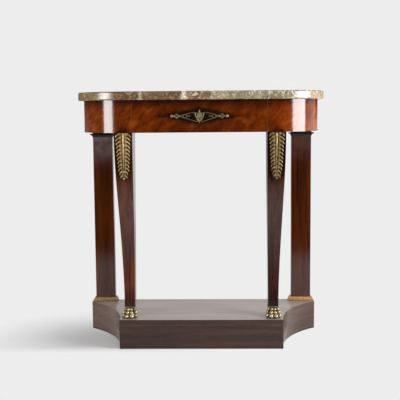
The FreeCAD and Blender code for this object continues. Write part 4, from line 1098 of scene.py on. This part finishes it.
def rosette_outline(angle, share, rise):
    """Reach and rise of a rosette: a raised lozenge with four petals."""
    side = abs(math.cos(angle)) / ROSETTE_HALF_LENGTH
    up = abs(math.sin(angle)) / ROSETTE_HALF_HEIGHT
    lozenge = (side ** ROSETTE_POWER + up ** ROSETTE_POWER) ** (-1 / ROSETTE_POWER)
    return share * lozenge * (1 + PETAL_SHARE * math.cos(4 * angle)), rise


def cast_plate(name, shares, outline, steps, middle_x=0.0, around=False):
    """A low cast plate on the drawer front: rings of points at the reach and rise that its outline gives."""
    shape = bmesh.new()
    rings = []
    for share, rise in shares:
        ring = []
        for angle in circle_angles(steps):
            reach, lift = outline(angle, share, rise)
            ring.append(shape.verts.new(escutcheon_point(
                middle_x + reach * math.cos(angle), reach * math.sin(angle), lift * SHIELD_RISE)))
        rings.append(ring)
    skin(shape, rings, around)
    return shape_piece(name, shape)


def escutcheon():
    """The pierced gilt escutcheon: a horned shield in a frame drawn out into bars, rings and finials."""
    (ring_x, ring_z), ring_radius = FRAME_RING
    half_frame = [curved(start, bend, end) for start, bend, end in FRAME_BARS]
    half_frame.append([(ring_x + ring_radius * math.cos(a), ring_z + ring_radius * math.sin(a))
                       for a in circle_angles(RING_STEPS) + [0.0]])
    routes = [[escutcheon_point(hand * x, z, BAR_LIFT_SHARE * BAR_RADIUS) for x, z in route]
              for hand in (-1, 1) for route in half_frame]
    pieces = [cast_bars("bars", routes, BAR_RADIUS, ESCUTCHEON_GILT),
              cast_plate("shield", SHIELD_SHARES, shield_outline, SHIELD_STEPS, around=True)]
    knobs = bmesh.new()
    for (x, z), radius, stretch, axis in FRAME_KNOBS:
        for hand in ((-1, 1) if x else (1,)):
            lean = (hand * axis[0], axis[1], axis[2])
            place = escutcheon_point(hand * x, z, KNOB_LIFT_SHARE * radius * MM)
            turned(knobs, round_profile(radius * MM, stretch), place, lean)
    for middle_x in (-ROSETTE_X, ROSETTE_X):
        pieces.append(cast_plate("rosette", ROSETTE_SHARES, rosette_outline, ROSETTE_STEPS, middle_x))
        button = escutcheon_point(middle_x, 0, ROSETTE_SHARES[-1][1] * SHIELD_RISE)
        turned(knobs, round_profile(ROSETTE_BUTTON * MM), button, (0, -1, 0), BUTTON_STEPS)
    pieces.append(shape_piece("knobs", knobs))
    casting = joined("escutcheon_cast", pieces)
    lifts = [(FRIEZE_FRONT - v.co.y) / SHIELD_RISE for v in casting.data.vertices]
    return relieved(casting, [min(max(lift, 0.0), 1.0) for lift in lifts])


dress(escutcheon(), ESCUTCHEON_GILT, "drawer", "gilt_bronze", "escutcheon")


# Studio: floor, backdrop, lights and camera


def studio_floor():
    """A pale floor: the backdrop's colour to the camera, with a soft shadow beside the table, partly painted:
    there a darker sheet, put only where the shadow falls, catches the lamps' shadow. To all other rays it is
    a white sheet that ends in front of the table. Polish mirrors its far right part as bright."""
    shape = bmesh.new()
    bmesh.ops.create_grid(shape, x_segments=1, y_segments=1, size=FLOOR_REACH)
    floor = shape_piece("studio_floor", shape)
    material, new, place = start_material("pale_studio_floor")
    ray = new("LightPath").outputs
    x, y = new("SeparateXYZ", {0: place}).outputs[:2]
    # Painted shade: the darker sheet is put only beside the table, where its shadow falls
    from_shadow = new("VectorMath", {0: place, 1: SHADOW_PLACE}, operation="DISTANCE")
    shaded = new("MapRange", {
        0: from_shadow, 1: SHADOW_RADIUS, 2: SHADOW_RADIUS + SHADOW_FADE, 3: SHADOW_SHARE, 4: 0.0}, **EASED)
    sheltered = new("MapRange", {0: y, 1: SHADOW_FRONT, 2: SHADOW_FRONT + SHADOW_EDGE, 4: shaded})
    shadow = new("BsdfDiffuse", {"Color": linear(SHADOW_SHEET)})
    backdrop = new("Emission", {"Color": linear(BACKDROP)})
    shown = new("MixShader", {0: sheltered, 1: backdrop, 2: shadow})
    sheet = new("MapRange", {0: y, 1: SHEET_FRONT - SHEET_FADE, 2: SHEET_FRONT}, **EASED)
    paper = new("Mix", {0: sheet, 6: linear(DARK_FLOOR), 7: linear(SHEET)}, **BLENDED)
    diffuse = new("BsdfDiffuse", {"Color": paper})
    far = new("MapRange", {0: y, 1: BRIGHT_FLOOR_BACK[0], 2: BRIGHT_FLOOR_BACK[1]})
    right = new("MapRange", {0: x, 1: BRIGHT_FLOOR_RIGHT[0], 2: BRIGHT_FLOOR_RIGHT[1]})
    far_right = new("Math", {0: far, 1: right}, operation="MULTIPLY")
    mirrored = new("Math", {0: far_right, 1: ray["Is Glossy Ray"]}, operation="MULTIPLY")
    bright = new("Emission", {"Strength": BACK_WALL})
    lit = new("MixShader", {0: mirrored, 1: diffuse, 2: bright})
    new("OutputMaterial", {0: new("MixShader", {0: ray["Is Camera Ray"], 1: lit, 2: shown})})
    floor.data.materials.append(material)


def studio_world():
    """An even backdrop for the camera and even light for matt surfaces. What polish mirrors is a dark room
    with a bright wall behind the table."""
    world = bpy.data.worlds.new("studio")
    bpy.context.scene.world = world
    world.use_nodes = True
    world.node_tree.nodes.clear()
    new = functools.partial(add, world.node_tree)
    ray = new("LightPath").outputs
    backwards = new("SeparateXYZ", {0: new("TexCoord").outputs["Generated"]}).outputs[1]
    behind = new("MapRange", {
        0: backwards, 1: BACK_WALL_SHARES[0], 2: BACK_WALL_SHARES[1], 3: ROOM, 4: BACK_WALL}, **EASED)
    mirrored = new("Background", {"Color": (1, 1, 1, 1), "Strength": behind})
    even = new("Background", {"Color": (1, 1, 1, 1), "Strength": AMBIENT})
    light = new("MixShader", {0: ray["Is Glossy Ray"], 1: even, 2: mirrored})
    backdrop = new("Background", {"Color": linear(BACKDROP)})
    new("OutputWorld", {0: new("MixShader", {0: ray["Is Camera Ray"], 1: light, 2: backdrop})})


def softbox(name, place, target, width, height, radiance):
    """A rectangular softbox of an even radiance, turned towards a target."""
    lamp = bpy.data.lights.new(name, "AREA")
    lamp.shape = "RECTANGLE"
    lamp.size = width
    lamp.size_y = height
    lamp.energy = radiance * math.pi * width * height
    box = link_object(name, lamp)
    box.location = place
    box.rotation_euler = (Vector(target) - Vector(place)).to_track_quat("-Z", "Y").to_euler()
    box.visible_camera = False


def studio_camera():
    """The camera of the photograph, from its pitch, yaw and roll."""
    pitch, yaw, roll = (math.radians(a) for a in (CAMERA_PITCH, CAMERA_YAW, CAMERA_ROLL))
    ahead = Vector((math.sin(yaw) * math.cos(pitch), math.cos(yaw) * math.cos(pitch), -math.sin(pitch)))
    right = Vector((math.cos(yaw), -math.sin(yaw), 0.0))
    up = right.cross(ahead)
    aim = Matrix((math.cos(roll) * right + math.sin(roll) * up,
                  math.cos(roll) * up - math.sin(roll) * right, -ahead)).transposed()
    lens = bpy.data.cameras.new("camera")
    lens.lens = LENS_MM
    lens.sensor_width = SENSOR_MM
    camera = link_object("camera", lens)
    camera.matrix_world = Matrix.Translation(CAMERA_PLACE) @ aim.to_4x4()
    bpy.context.scene.camera = camera


studio_floor()
studio_world()
studio_camera()
for name, settings in SOFTBOXES.items():
    softbox(name, *settings)

scene = bpy.context.scene
scene.view_settings.view_transform = "Standard"
